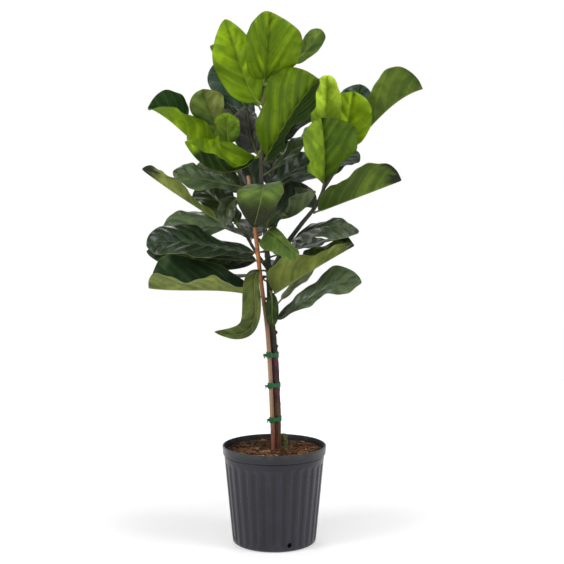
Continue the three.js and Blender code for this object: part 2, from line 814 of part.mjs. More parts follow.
    face: [-0.1, -0.95, 0.1], width: 62, share: [0.5, 1], fold: [30, 15], outline: "pointed" },
  { stem: "trunk", at: 620, through: [[-5, -21, 594], [-5, -21, 566]], tip: [-1, -20, 536],
    face: [0, -1, 0.05], width: 32, fold: [5, 5], outline: "oblong", petiole: 8 },
  { stem: "trunk", at: 944, through: [[-52, 12, 976], [-61, 17, 1018]], tip: [-66, 14, 1062],
    face: [-0.4, -0.9, 0.1], width: 86, share: [1, 0.75], fold: [20, 20], petiole: 14,
    outline: "oblong", tone: "deep" },
  { stem: "trunk", at: 898, through: [[10, -25, 925], [42, -42, 955]], tip: [75, -50, 985],
    face: [-0.35, -0.6, 0.7], width: 60, tone: "deep" },
  { stem: "trunk", at: 850, through: [[10, 35, 880], [52, 58, 915]], tip: [92, 78, 948],
    face: [-0.4, -0.6, 0.7], width: 105, tone: "deep" },
  { stem: "back", at: 962, through: [[36, 74, 1008], [84, 62, 1066]], tip: [134, 50, 1126],
    face: [0, -1, 0.3], width: 84, tone: "deep" },
  // Back
  { stem: "back", at: 978, through: [[15, 150, 1030], [22, 190, 1080]], tip: [30, 220, 1135],
    face: [0, 0.8, 0.6] },
  { stem: "back", at: 952, through: [[60, 140, 970], [110, 190, 1015]], tip: [160, 230, 1070],
    face: [-0.3, 0.2, 0.9] },
  { stem: "back", at: 930, through: [[-48, 130, 955], [-98, 176, 1000]], tip: [-145, 212, 1052],
    face: [0.3, 0.3, 0.9] },
  { stem: "back", at: 880, through: [[70, 118, 890], [140, 150, 922]], tip: [214, 172, 956],
    face: [-0.2, -0.5, 0.85], tone: "deep" },
  { stem: "back", at: 860, through: [[-2, 138, 898], [4, 186, 940]], tip: [10, 230, 992],
    face: [0.05, -0.7, 0.7], width: 106, tone: "deep" },
  { stem: "backLow", at: 752, through: [[-115, 130, 762], [-165, 180, 778]], tip: [-212, 230, 792],
    face: [0.2, -0.1, 1], tone: "deep" },
  { stem: "backLow", at: 735, through: [[-56, 150, 752], [-50, 215, 766]], tip: [-46, 265, 776],
    face: [0, -0.2, 1], width: 120, tone: "deep" },
  { stem: "trunk", at: 700, through: [[40, 70, 712], [92, 130, 722]], tip: [146, 185, 732],
    face: [-0.1, -0.1, 1], tone: "deep" },
  { stem: "trunk", at: 650, through: [[10, 80, 662], [35, 165, 668]], tip: [60, 250, 655],
    face: [0, 0.1, 1], tone: "deep" },
  { stem: "trunk", at: 640, through: [[-50, 60, 648], [-100, 125, 640]], tip: [-150, 190, 608],
    face: [0, 0.1, 1], tone: "deep" },
  { stem: "trunk", at: 1045, through: [[-62, 50, 1112], [-108, 72, 1176]], tip: [-157, 76, 1212],
    face: [-0.2, -1, 0.2], width: 52, fold: [10, 10], outline: "oblong", tone: "young" },
  { stem: "trunk", at: 1060, through: [[-10, 42, 1084], [-4, 70, 1130]], tip: [8, 86, 1180],
    face: [0, -0.9, 0.4], width: 100, share: [0.5, 1], petiole: 14, outline: "oblong" },
  // Deep in the middle
  { stem: "trunk", at: 798, through: [[8, 34, 812], [42, 50, 836]], tip: [82, 66, 872],
    face: [-0.2, -0.75, 0.6], width: 120, tone: "deep" },
  { stem: "trunk", at: 838, through: [[-46, 34, 868], [-58, 50, 904]], tip: [-68, 60, 942],
    face: [0.2, -0.8, 0.55], width: 80, tone: "deep" },
].map((leaf) => ({ ...LEAF_DEFAULTS, ...leaf }));

const plant = new THREE.Group();
plant.add(makePot(), makeSoil(), makeTrunk());
plant.add(finish("cane", toGeometry(CANE.solid()), COLOURS.cane, 0.6));
TIE_HEIGHTS.forEach((_, index) => plant.add(makeTie(index)));
LEAVES.forEach((leaf, index) => {
  leaf.phase = index * 1.7;
  plant.add(makeLeaf(leaf, index));
});

export default plant;
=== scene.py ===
"""A fiddle leaf fig in a ribbed nursery pot, dressed over its CAD frame. Lengths are in millimetres
until a mesh is made, in the frame's axes: +Z up, the pot's front towards -Y."""
import math
import random
from types import SimpleNamespace

import bpy
import numpy as np
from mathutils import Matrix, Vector, noise


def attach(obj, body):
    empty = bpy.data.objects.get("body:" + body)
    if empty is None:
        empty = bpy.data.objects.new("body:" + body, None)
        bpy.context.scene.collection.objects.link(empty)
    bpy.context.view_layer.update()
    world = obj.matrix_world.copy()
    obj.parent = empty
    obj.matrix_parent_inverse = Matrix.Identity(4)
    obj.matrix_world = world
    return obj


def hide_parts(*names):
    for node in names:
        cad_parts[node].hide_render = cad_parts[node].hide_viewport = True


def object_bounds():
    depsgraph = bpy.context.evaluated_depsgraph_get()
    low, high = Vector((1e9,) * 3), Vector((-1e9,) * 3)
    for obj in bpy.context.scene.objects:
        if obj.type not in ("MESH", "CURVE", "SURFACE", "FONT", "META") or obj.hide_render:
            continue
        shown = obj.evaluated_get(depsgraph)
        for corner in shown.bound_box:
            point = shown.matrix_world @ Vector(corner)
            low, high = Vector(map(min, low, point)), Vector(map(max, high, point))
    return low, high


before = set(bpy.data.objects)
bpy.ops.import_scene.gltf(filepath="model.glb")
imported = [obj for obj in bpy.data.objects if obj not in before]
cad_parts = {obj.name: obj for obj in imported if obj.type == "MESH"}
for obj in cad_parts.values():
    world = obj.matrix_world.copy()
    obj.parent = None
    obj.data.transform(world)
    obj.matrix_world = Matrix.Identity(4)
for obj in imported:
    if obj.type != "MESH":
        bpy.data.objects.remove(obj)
cad_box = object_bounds()
MM = 0.001
BOX = np.array(cad_box) / MM  # no leaf reaches outside it

# Sizes that the frame's solids share, but for the ribs, which are deeper here
FLOOR = 4
COLLAR_BOTTOM = 205
RIBS = 30
RIB_DEPTH = 2.3
DRAIN_HOLES = 4
DRAIN_TURN = 21
DRAIN_RADIUS = 6
DRAIN_HEIGHT = 17
DRAIN_SPAN = (86, 116)  # from the axis, well past both faces of the wall
NECK_INSIDE = 120
FLOOR_INSIDE = 98.5
SOIL_TOP = 232
CLEARANCE = 0.35
CANE_RADIUS = 5.4
TIE_HEIGHTS = [306, 389, 464]
PETIOLE_RADIUS = 2.7
STUB = {"x": 25, "y": 4, "radius": 9, "top": 268}


# Small helpers

def unit(v):
    return v / np.maximum(np.linalg.norm(v, axis=-1, keepdims=True), 1e-12)


def smooth(low, high, x):
    t = np.clip((x - low) / (high - low), 0, 1)
    return t * t * (3 - 2 * t)


def turns_of(sides):
    return np.arange(sides) * 2 * math.pi / sides


def circle(turns, radius, z, x=0, y=0):
    """Points round a centre. radius and z may be given for each turn."""
    return np.stack([x + radius * np.cos(turns), y + radius * np.sin(turns), z + 0 * turns], axis=-1)


def linked(name, data):
    made = bpy.data.objects.new(name, data)
    bpy.context.scene.collection.objects.link(made)
    return made


def new_piece(name, points, faces, materials=(), slots=None, sharp=40):
    """A mesh object from points in millimetres. slots: each face's material."""
    mesh = bpy.data.meshes.new(name)
    mesh.from_pydata((np.asarray(points) * MM).tolist(), [], faces)
    mesh.validate()
    for material in materials:
        mesh.materials.append(material)
    if slots is not None:
        mesh.polygons.foreach_set("material_index", slots)
    mesh.shade_smooth()
    mesh.set_sharp_from_angle(angle=math.radians(sharp))
    mesh.update()
    return linked(name, mesh)


def keep(piece, name, *values):
    """A number, vector or colour for each vertex that a material reads."""
    values = np.concatenate(values).astype(np.float32)
    width = values.size // len(values)
    kind, slot = {1: ("FLOAT", "value"), 3: ("FLOAT_VECTOR", "vector"),
                  4: ("FLOAT_COLOR", "color")}[width]
    piece.data.attributes.new(name, kind, "POINT").data.foreach_set(slot, values.ravel())


def grid_faces(rows, count, closed=True):
    """Quads between rows of points. Each row has count points."""
    faces = []
    for first in range(0, (rows - 1) * count, count):
        for j in range(count if closed else count - 1):
            a, b = first + j, first + (j + 1) % count
            faces.append((a, b, b + count, a + count))
    return faces


def body(rings):
    """Points and faces of a tube through rings of points, closed at both ends."""
    count = len(rings[0])
    ends = [tuple(range(count))[::-1], tuple(range((len(rings) - 1) * count, len(rings) * count))]
    return np.concatenate(rings), grid_faces(len(rings), count) + ends


def merged(parts):
    """Points and faces of several closed bodies in one."""
    points, faces, first = [], [], 0
    for part_points, part_faces in parts:
        points.append(part_points)
        faces += [tuple(first + i for i in face) for face in part_faces]
        first += len(part_points)
    return np.concatenate(points), faces


def applied(piece, name):
    """A new mesh object with the piece's modifiers applied. The old one goes."""
    depsgraph = bpy.context.evaluated_depsgraph_get()
    mesh = bpy.data.meshes.new_from_object(piece.evaluated_get(depsgraph))
    mesh.name = name
    bpy.data.objects.remove(piece)
    return linked(name, mesh)


def hooked(piece, slot, *nodes):
    """The piece stands for these nodes of the frame."""
    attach(piece, "root")
    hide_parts(*nodes)


# Stems: the same centre lines as the frame's

class Stem:
    """A centripetal Catmull-Rom curve through points, with a radius at its foot and at its end."""

    def __init__(self, points, *radii):
        self.points = [np.array(p, dtype=float) for p in points]
        self.radii = radii

    def point(self, t):
        pts = [2 * self.points[0] - self.points[1], *self.points, 2 * self.points[-1] - self.points[-2]]
        spans = len(self.points) - 1
        i = min(int(spans * t), spans - 1)
        w = spans * t - i
        p0, p1, p2, p3 = pts[i:i + 4]
        d0, d1, d2 = [math.sqrt(np.linalg.norm(b - a)) for a, b in ((p0, p1), (p1, p2), (p2, p3))]
        m1 = ((p1 - p0) / d0 - (p2 - p0) / (d0 + d1) + (p2 - p1) / d1) * d1
        m2 = ((p2 - p1) / d1 - (p3 - p1) / (d1 + d2) + (p3 - p2) / d2) * d1
        c2 = -3 * p1 + 3 * p2 - 2 * m1 - m2
        c3 = 2 * p1 - 2 * p2 + m1 + m2
        return p1 + m1 * w + c2 * w * w + c3 * w ** 3

    def tangent(self, t):
        return unit(self.point(min(t + 1e-4, 1)) - self.point(max(t - 1e-4, 0)))

    def radius(self, t):
        return self.radii[0] + (self.radii[1] - self.radii[0]) * t

    def at_height(self, z):
        low, high = 0.0, 1.0
        for _ in range(40):
            mid = (low + high) / 2
            low, high = (mid, high) if self.point(mid)[2] < z else (low, mid)
        return low

    def rings(self, steps, sides, radius_of):
        """Rings of points round the stem. radius_of takes the share along it and the turns."""
        turns = turns_of(sides)
        rings = []
        for t in np.arange(steps + 1) / steps:
            along = self.tangent(t)
            side = unit(np.cross((0, 1, 0), along))
            ring = circle(turns, radius_of(t, turns), 0)
            rings.append(self.point(t) + ring @ np.array([side, np.cross(along, side), along]))
        return rings


STEMS = {
    "trunk": Stem([(7, 0, 120), (7, 0, 230), (6, 0, 330), (4, 0, 400), (1, 0, 460), (-4, 0, 524),
                   (-10, 0, 597), (-13, 0, 670), (-20, 0, 743), (-28, 0, 839), (-31, 0, 923),
                   (-28, 0, 983), (-25, 0, 1050), (-26, 0, 1120)], 10.5, 3.6),
    "right": Stem([(-12, 0, 652), (24, -4, 724), (62, -8, 777), (104, -12, 832), (126, -14, 892),
                   (134, -14, 962)], 6.5, 3.6),
    "farRight": Stem([(118, -12, 866), (150, 4, 914), (180, 15, 958), (206, 20, 994)], 4.4, 3.2),
    "lowLeft": Stem([(-19, 0, 728), (-58, 4, 757), (-102, 6, 772), (-130, 6, 788)], 5, 3.4),
    "highLeft": Stem([(-26, 0, 806), (-58, 4, 863), (-87, 6, 923), (-112, 6, 988)], 5, 3.4),
    "back": Stem([(-22, 0, 765), (-18, 42, 825), (-4, 80, 900), (8, 104, 985)], 5, 3.4),
    "backLow": Stem([(-14, 0, 672), (-42, 42, 706), (-76, 84, 760)], 5, 3.4),
}
TRUNK = STEMS["trunk"]
CANE = Stem([(-1, -16, 135), (-2, -16, 235), (-7, -13, 351), (-12, -10, 462), (-18, -11, 540),
             (-31, -16, 640), (-41, -20, 730), (-50, -24, 815), (-61, -28, 898)],
            CANE_RADIUS, CANE_RADIUS)


# Materials. A colour of three numbers is as a screen shows it, from 0 to 255; one of four is linear.

# The dark brown of a scorched tip. It also serves as painted shade towards a blade's tip.
BURNT_AND_SHADE = (0.01, 0.012, 0.004, 1)
# Dark patches of mulch at random. The same colour serves as painted shade.
DARK_MULCH_AND_SHADE = (34, 21, 12)
WHITE = (1, 1, 1, 1)


def srgb(r, g, b):
    """The linear colour."""
    def line(c):
        c /= 255
        return c / 12.92 if c <= 0.04045 else ((c + 0.055) / 1.055) ** 2.4
    return (line(r), line(g), line(b), 1)


class Nodes:
    """Short names for the nodes of one tree. Each gives the output that is asked for."""

    def __init__(self, tree):
        self.tree = tree

    def put(self, socket, value):
        if isinstance(value, bpy.types.NodeSocket):
            self.tree.links.new(value, socket)
        elif value is not None:
            screen = socket.type == "RGBA" and len(value) == 3
            socket.default_value = srgb(*value) if screen else value

    def node(self, kind, inputs=(), out=0, **settings):
        made = self.tree.nodes.new("ShaderNode" + kind)
        for key, value in settings.items():
            setattr(made, key, value)
        for key, value in (inputs if isinstance(inputs, dict) else dict(enumerate(inputs))).items():
            self.put(made.inputs[key], value)
        return made.outputs[out]

    def attribute(self, name, out="Fac"):
        return self.node("Attribute", out=out, attribute_name=name)

    def place(self, out="Object"):
        return self.node("TexCoord", out=out)

    def split(self, vector):
        return list(self.node("SeparateXYZ", [vector]).node.outputs)

    def stretch(self, vector, *scale):
        return self.node("Mapping", {"Vector": vector, "Scale": scale})

    def noise(self, vector, scale, detail=3, rough=0.55, warp=0.0):
        return self.node("TexNoise", {"Vector": vector, "Scale": scale, "Detail": detail,
                                      "Roughness": rough, "Distortion": warp}, "Fac")

    def math(self, operation, *values):
        return self.node("Math", values, operation=operation)

    def times(self, a, b):
        return self.math("MULTIPLY", a, b)

    def reach(self, x, y):
        """The distance from the axis."""
        return self.math("SQRT", self.math("ADD", self.times(x, x), self.times(y, y)))

    def ramp(self, value, low, high, to_low=0.0, to_high=1.0, kind="SMOOTHSTEP"):
        return self.node("MapRange", [value, low, high, to_low, to_high], interpolation_type=kind)

    def mix(self, share, a, b, blend="MIX"):
        return self.node("Mix", {0: share, 6: a, 7: b}, 2, data_type="RGBA", blend_type=blend)

    def shade(self, colour, *factors):
        return self.mix(1.0, colour, factors + (1,), "MULTIPLY")

    def colours(self, value, stops):
        """A colour ramp. Each stop is a place from 0 to 1 and a colour."""
        made = self.node("ValToRGB", [value])
        elements = made.node.color_ramp.elements
        while len(elements) < len(stops):
            elements.new(0.5)
        for element, (place, *colour) in zip(elements, stops):
            element.position = place
            element.color = srgb(*colour)
        return made


class Look(Nodes):
    """One material. Its colour and its normal grow layer by layer."""

    def __init__(self, name, roughness, specular, coat=0.0):
        self.material = bpy.data.materials.new(name)
        self.material.use_nodes = True
        super().__init__(self.material.node_tree)
        self.shader = self.tree.nodes["Principled BSDF"].inputs
        self.colour = self.normal = None
        self.fill({"Roughness": roughness, "Specular IOR Level": specular, "Coat Weight": coat,
                   "Coat Roughness": 0.2})

    def fill(self, values):
        """Puts values on the shader's own sockets."""
        for key, value in values.items():
            self.put(self.shader[key], value)

    def lay(self, *layers):
        """Lays colours over what is there. Each layer is a share and a colour."""
        for share, colour in layers:
            self.colour = self.mix(share, self.colour, colour)

    def bump(self, height, distance, strength=1.0):
        self.normal = self.node("Bump", {"Height": height, "Distance": distance,
                                         "Strength": strength, "Normal": self.normal})

    def finish(self, roughness=None):
        self.fill({"Base Color": self.colour, "Roughness": roughness, "Normal": self.normal})
        return self.material


def blade_look(name, roughness, specular, coat, vein_share, margin):
    """A leaf blade. The attribute leaf holds the vein count, the share across and the share along;
    spot holds the place on the flat blade in decimetres; tint is the leaf's colour, which on some
    leaves is painted shade or painted light."""
    look = Look(name, roughness, specular, coat)
    count, across, along = look.split(look.attribute("leaf", "Vector"))
    spot = look.attribute("spot", "Vector")
    tint = look.attribute("tint", "Color")
    back, burn_and_shade, dull = [look.attribute(word) for word in ("back", "burn_and_shade", "dull")]
    broad = look.noise(spot, 3.2)
    fine = look.noise(spot, 38, 4)
    net = look.node("TexVoronoi", {"Vector": spot, "Scale": 34}, "Distance", feature="DISTANCE_TO_EDGE")
    cell = look.node("CombineXYZ", [count, look.times(across, 0.7), look.split(spot)[2]])
    painted_bulge_shading = look.noise(cell, 0.8, 2)
    away = look.math("PINGPONG", count, 0.5)
    width = look.ramp(across, 0, 1, 0.055, 0.02, "LINEAR")
    vein = look.ramp(look.math("SUBTRACT", 1, look.math("DIVIDE", away, width)), 0, 0.8)
    darker = look.shade(tint, 0.47, 0.53, 0.47)
    lighter = look.shade(tint, 1.5, 1.42, 1.22)
    pale = look.mix(0.25, lighter, (0.34, 0.4, 0.1, 1))
    # Painted light and shade of the bulges between the veins: each strip between two veins is lighter
    # or darker, and darker again in its middle.
    look.colour = look.mix(look.ramp(painted_bulge_shading, 0.34, 0.66), darker, lighter)
    look.lay((look.ramp(broad, 0.38, 0.66, 0, 0.75), darker),
             (look.times(look.ramp(away, 0.16, 0.42), 0.14), darker),
             (look.ramp(fine, 0.3, 0.7, 0, 0.25), darker),
             (look.times(look.ramp(away, 0.02, 0.26, 1, 0), vein_share * 0.4), pale),
             (look.times(vein, vein_share), pale),
             (look.ramp(net, 0.0, 0.07, 0.22 * vein_share, 0), pale),
             (look.times(look.ramp(across, 0.012, 0.05, 1, 0), vein_share * 1.3), pale),
             (look.times(look.ramp(across, 0.965, 0.995), 0.5), margin),
             # Painted shade: the blade is darker towards its foot.
             (look.ramp(along, 0.02, 0.42, 0.55, 0), darker),
             # Dark brown for real scorch, and painted shade towards the tip where a leaf asks for it.
             (look.times(burn_and_shade, look.ramp(fine, 0.3, 0.55, 0.8, 1)), BURNT_AND_SHADE))
    rough = look.ramp(fine, 0.3, 0.75, roughness - 0.06, roughness + 0.12)
    rough = look.math("ADD", rough, look.times(look.math("MAXIMUM", back, burn_and_shade), 0.2))
    rough = look.math("ADD", rough, look.times(dull, 0.35))
    look.bump(look.times(vein, look.math("SUBTRACT", back, 0.5)), 0.0009)
    look.bump(look.ramp(net, 0, 0.16), 0.0005, 0.5)
    look.bump(broad, 0.0035, 0.35)
    return look.finish(rough)


def rib_look():
    look = Look("rib", 0.5, 0.4)
    grain = look.noise(look.place(), 420)
    look.colour = look.attribute("tint", "Color")
    look.lay((look.ramp(grain, 0.35, 0.7, 0, 0.4), (0.08, 0.09, 0.02, 1)),
             (look.attribute("burn_and_shade"), (0.085, 0.05, 0.026, 1)))
    look.bump(grain, 0.0004, 0.5)
    return look.finish(look.ramp(grain, 0.3, 0.7, 0.42, 0.6))


def bark_look():
    look = Look("bark", 0.8, 0.25)
    place = look.place()
    wander = look.times(look.noise(place, 14), 0.09)
    level = look.ramp(look.math("ADD", look.split(place)[2], wander), 0.2, 1.2, kind="LINEAR")
    look.colour = look.colours(level, [
        (0.0, 104, 58, 48), (0.1, 100, 58, 44), (0.145, 84, 62, 40), (0.19, 86, 62, 42),
        (0.206, 64, 42, 42), (0.218, 98, 44, 58), (0.234, 50, 38, 40), (0.255, 70, 38, 50),
        (0.275, 52, 36, 44), (0.292, 92, 44, 58), (0.308, 40, 34, 34), (0.35, 36, 36, 32),
        (0.375, 46, 52, 24), (0.42, 52, 58, 32), (0.54, 62, 74, 62), (0.64, 66, 70, 60),
        (0.74, 100, 92, 98), (0.86, 92, 94, 66), (1.0, 108, 120, 54)])
    streak = look.noise(look.stretch(place, 1, 1, 0.12), 210, 4, 0.65)
    rings = look.noise(look.stretch(place, 0.12, 0.12, 1), 260, 2)
    speck = look.noise(place, 330)
    mossy = look.times(look.attribute("moss"), look.ramp(look.noise(place, 90, 4), 0.3, 0.6, 0.35, 1))
    green = look.mix(look.ramp(look.noise(place, 150, 4), 0.36, 0.6), (30, 34, 18), (84, 90, 48))
    look.lay((look.ramp(streak, 0.35, 0.65, 0.55, 0), (38, 28, 22)),
             (look.ramp(speck, 0.6, 0.74, 0, 0.5), (150, 136, 112)),
             (mossy, green))
    look.bump(streak, 0.0016, 0.8)
    look.bump(rings, 0.0011, 0.6)
    look.bump(speck, 0.0006, 0.6)
    return look.finish(look.ramp(speck, 0.3, 0.7, 0.68, 0.9))


def cane_look():
    look = Look("cane", 0.5, 0.4)
    place = look.place()
    streak = look.noise(look.stretch(place, 1, 1, 0.03), 520, 4, 0.6)
    patch = look.noise(look.stretch(place, 1, 1, 0.35), 34)
    level = look.ramp(look.split(place)[2], 0.2, 1.0, kind="LINEAR")
    base = look.colours(level, [
        (0.03, 138, 78, 60), (0.11, 136, 86, 64), (0.16, 156, 126, 92), (0.28, 164, 136, 106),
        (0.38, 162, 126, 96), (0.44, 112, 82, 46), (0.5, 112, 76, 42), (0.58, 190, 124, 66),
        (0.8, 188, 122, 66), (0.86, 190, 150, 118)])
    darker = look.shade(base, 0.55, 0.5, 0.46)
    look.colour = look.mix(look.ramp(streak, 0.32, 0.62), darker, base)
    look.lay((look.ramp(patch, 0.45, 0.72, 0, 0.6), darker),
             # Painted shade: one side of the cane is darker, as if lit from the other side.
             (look.times(look.attribute("lee"), look.ramp(patch, 0.3, 0.6, 0.85, 0.45)),
              look.shade(base, 0.3, 0.2, 0.16)),
             (look.attribute("ring"), (92, 58, 34)))
    look.bump(streak, 0.0006, 0.7)
    return look.finish(look.ramp(streak, 0.3, 0.7, 0.42, 0.62))


def tie_look():
    look = Look("tie", 0.42, 0.3)
    crease = look.noise(look.stretch(look.place(), 1, 1, 2.4), 240, 4, 0.6, 0.4)
    # Painted shade in the tape's creases and a painted highlight on its ridges: the colour follows the
    # relief of the bump.
    look.colour = look.mix(look.ramp(crease, 0.3, 0.7), (4, 52, 28), (12, 96, 48))
    look.bump(crease, 0.001, 0.8)
    return look.finish(look.ramp(crease, 0.3, 0.7, 0.34, 0.55))


def pot_look():
    """Black plastic, with painted shade between the ribs, under the lip and inside; dusty at the foot
    and the rim.
    """
    look = Look("pot", 0.42, 0.42)
    place = look.place()
    x, y, height = look.split(place)
    reach = look.reach(x, y)
    cloud = look.noise(place, 9, 4, 0.6)
    grain = look.noise(place, 900, 2)
    scuff = look.noise(look.stretch(place, 1, 1, 0.08), 120, 4, 0.7)
    dust = look.noise(place, 46, 5, 0.65)
    turn = look.times(look.math("ARCTAN2", y, x), RIBS)
    # Painted shade in the hollows between the ribs.
    valley_shade = look.ramp(look.math("COSINE", turn), -0.5, 0.5, 0.62, 0)
    valley_shade = look.times(look.times(valley_shade, look.ramp(height, 0.008, 0.02)),
                        look.ramp(height, 0.188, 0.2, 1, 0))
    # Painted shade on the collar under the lip, and on the inside of the rim.
    collar_shade = look.times(look.ramp(height, 0.198, 0.204), look.ramp(height, 0.218, 0.222, 0.5, 0))
    inner_shade = look.times(look.ramp(reach, 0.1234, 0.1246, 0.9, 0), look.ramp(height, 0.2196, 0.2206))
    lip = look.times(look.ramp(height, 0.2215, 0.2235, 0, 0.75), look.ramp(reach, 0.1246, 0.125))
    foot = look.times(look.ramp(height, 0.0, 0.05, 0.2, 0), look.ramp(dust, 0.4, 0.65))
    rim = look.times(look.ramp(height, 0.225, 0.24, 0, 0.3), look.ramp(dust, 0.35, 0.6))
    look.colour = look.mix(look.ramp(cloud, 0.3, 0.7), (19, 17, 30), (34, 32, 47))
    look.lay((look.ramp(scuff, 0.62, 0.78, 0, 0.3), (76, 76, 80)),
             (valley_shade, (8, 8, 12)),
             (collar_shade, (7, 8, 11)),
             (inner_shade, (6, 6, 8)),
             (lip, (16, 19, 19)),
             (foot, (70, 64, 58)),
             (rim, (72, 76, 76)))
    look.bump(grain, 0.00025, 0.5)
    look.bump(scuff, 0.0003, 0.4)
    return look.finish(look.math("ADD", look.ramp(cloud, 0.3, 0.7, 0.24, 0.4), look.times(inner_shade, 0.5)))


def mulch_look():
    """Bark chips, each with its tint. Between them it is dark; at the back left and below the top there
    is painted shade.
    """
    look = Look("mulch", 0.9, 0.2)
    place = look.place()
    tint = look.attribute("tint", "Color")
    fibre = look.noise(look.stretch(look.attribute("grain", "Vector"), 1, 9, 9), 60, 4, 0.65)
    speck = look.noise(place, 420)
    patch = look.noise(look.stretch(place, 0.6, 1.6, 1), 30)
    across, deep, height = look.split(place)
    # Painted shade at the back left, where the pot's wall shades the mulch.
    back_left_shade = look.ramp(look.math("SUBTRACT", deep, look.times(across, 0.6)), 0.01, 0.09, 0, 0.55)
    look.colour = look.mix(look.ramp(fibre, 0.3, 0.7), look.shade(tint, 0.5, 0.45, 0.42), tint)
    look.lay((look.ramp(speck, 0.6, 0.75, 0, 0.4), (38, 24, 17)),
             (look.ramp(patch, 0.4, 0.6, 0, 0.72), DARK_MULCH_AND_SHADE),
             (back_left_shade, DARK_MULCH_AND_SHADE),
             # Painted shade: dark below the mulch's top, deep in the pot.
             (look.ramp(height, 0.205, 0.222, 1, 0), (9, 8, 7)))
    look.bump(fibre, 0.0012, 0.8)
    return look.finish(look.ramp(speck, 0.3, 0.7, 0.8, 0.98))


def floor_look():
    """Pale and matt. It glows as painted light: a little near the pot, which lightens the shadow there,
    and more with the distance, so that its edge meets the white.
    """
    look = Look("floor", 0.9, 0.2)
    x, y, _ = look.split(look.place())
    glow = look.ramp(look.reach(x, y), 0.5, 2.2, 0.42, 0.8)
    look.fill({"Emission Strength": glow, "Emission Color": WHITE})
    look.colour = (0.66, 0.66, 0.66, 1)
    return look.finish()


# Leaf shape, by the same rules as the frame's solids. An outline gives the half width along the blade.

OUTLINES = {
    "fiddle": [(0, 0.06), (0.04, 0.27), (0.12, 0.44), (0.24, 0.46), (0.38, 0.62), (0.54, 0.88),
               (0.7, 1), (0.83, 0.92), (0.92, 0.68), (0.975, 0.36), (1, 0.07)],
    "oblong": [(0, 0.08), (0.05, 0.42), (0.14, 0.7), (0.3, 0.9), (0.5, 1), (0.68, 0.98),
               (0.8, 0.85), (0.9, 0.6), (0.97, 0.3), (1, 0.06)],
    "broad": [(0, 0.08), (0.05, 0.38), (0.14, 0.6), (0.3, 0.76), (0.5, 0.9), (0.7, 1),
              (0.82, 0.97), (0.91, 0.78), (0.97, 0.42), (1, 0.07)],
    "tapered": [(0, 0.05), (0.08, 0.2), (0.22, 0.46), (0.42, 0.8), (0.62, 1), (0.78, 0.96),
                (0.9, 0.68), (0.97, 0.34), (1, 0.06)],
    "blunt": [(0, 0.07), (0.08, 0.28), (0.22, 0.52), (0.36, 0.74), (0.52, 0.93), (0.7, 1),
              (0.86, 1), (0.95, 0.84), (0.985, 0.5), (1, 0.1)],
    "squared": [(0, 0.08), (0.06, 0.5), (0.16, 0.86), (0.3, 1), (0.45, 0.96), (0.6, 0.8),
                (0.75, 0.64), (0.88, 0.54), (0.97, 0.46), (1, 0.2)],
    "pointed": [(0, 0.08), (0.05, 0.42), (0.14, 0.7), (0.3, 0.92), (0.5, 1), (0.68, 0.9),
                (0.8, 0.7), (0.9, 0.44), (0.97, 0.2), (1, 0.05)],
}
MIDRIB_SAMPLES = 48
FACE_AT = 29  # the midrib's sample where the row's face holds
WAVES = 2.2
RIPPLES = 6.3
CURL = math.radians(-10)
VEIN_GAP = 32
BLADE_ROWS = 72
HALF_ACROSS = [0.02, 0.05, 0.1, 0.17, 0.25, 0.34, 0.43, 0.52, 0.61, 0.7, 0.79, 0.87, 0.94, 0.98, 1]
ACROSS = np.array([-v for v in reversed(HALF_ACROSS)] + [0] + HALF_ACROSS)
STALK_SIDES = 10


def outline_at(outline, b):
    """A smooth curve through the outline's points."""
    at, wide = np.array(outline).T
    apart = np.append(at[1:], at[-1]) - np.append(at[0], at[:-1])
    slope = (np.append(wide[1:], wide[-1]) - np.append(wide[0], wide[:-1])) / apart
    i = np.clip(np.searchsorted(at, b) - 1, 0, len(at) - 2)
    span = at[i + 1] - at[i]
    t = (b - at[i]) / span
    bulge = span * t * (1 - t) * (slope[i] * (1 - t) - slope[i + 1] * t)
    return wide[i] + (wide[i + 1] - wide[i]) * smooth(0, 1, t) + bulge


def find_midrib(leaf):
    """Gives the leaf point_at, the midrib's points by their share of its length; total, that
    length; out, the way out of the stem; and foot, the share where the blade begins."""
    stem = STEMS[leaf.stem]
    t = stem.at_height(leaf.at)
    centre, along = stem.point(t), stem.tangent(t)
    b, c, tip = [np.array(p, dtype=float) for p in (leaf.first, leaf.second, leaf.tip)]
    out = b - centre
    out = unit(out - along * out.dot(along))
    root = centre + out * (stem.radius(t) + CLEARANCE)
    handle_a = (-5 * root + 18 * b - 9 * c + 2 * tip) / 6
    handle_b = (2 * root - 9 * b + 18 * c - 5 * tip) / 6
    t = np.linspace(0, 1, MIDRIB_SAMPLES + 1)[:, None]
    points = ((1 - t) ** 3 * root + 3 * (1 - t) ** 2 * t * handle_a
              + 3 * (1 - t) * t * t * handle_b + t ** 3 * tip)
    steps = np.linalg.norm(np.diff(points, axis=0), axis=1)
    lengths = np.concatenate([[0], np.cumsum(steps)])
    leaf.total = lengths[-1]
    leaf.out = out
    leaf.foot = leaf.petiole / leaf.total

    def point_at(s):
        return np.stack([np.interp(s * leaf.total, lengths, axis) for axis in points.T], axis=-1)

    leaf.point_at = point_at


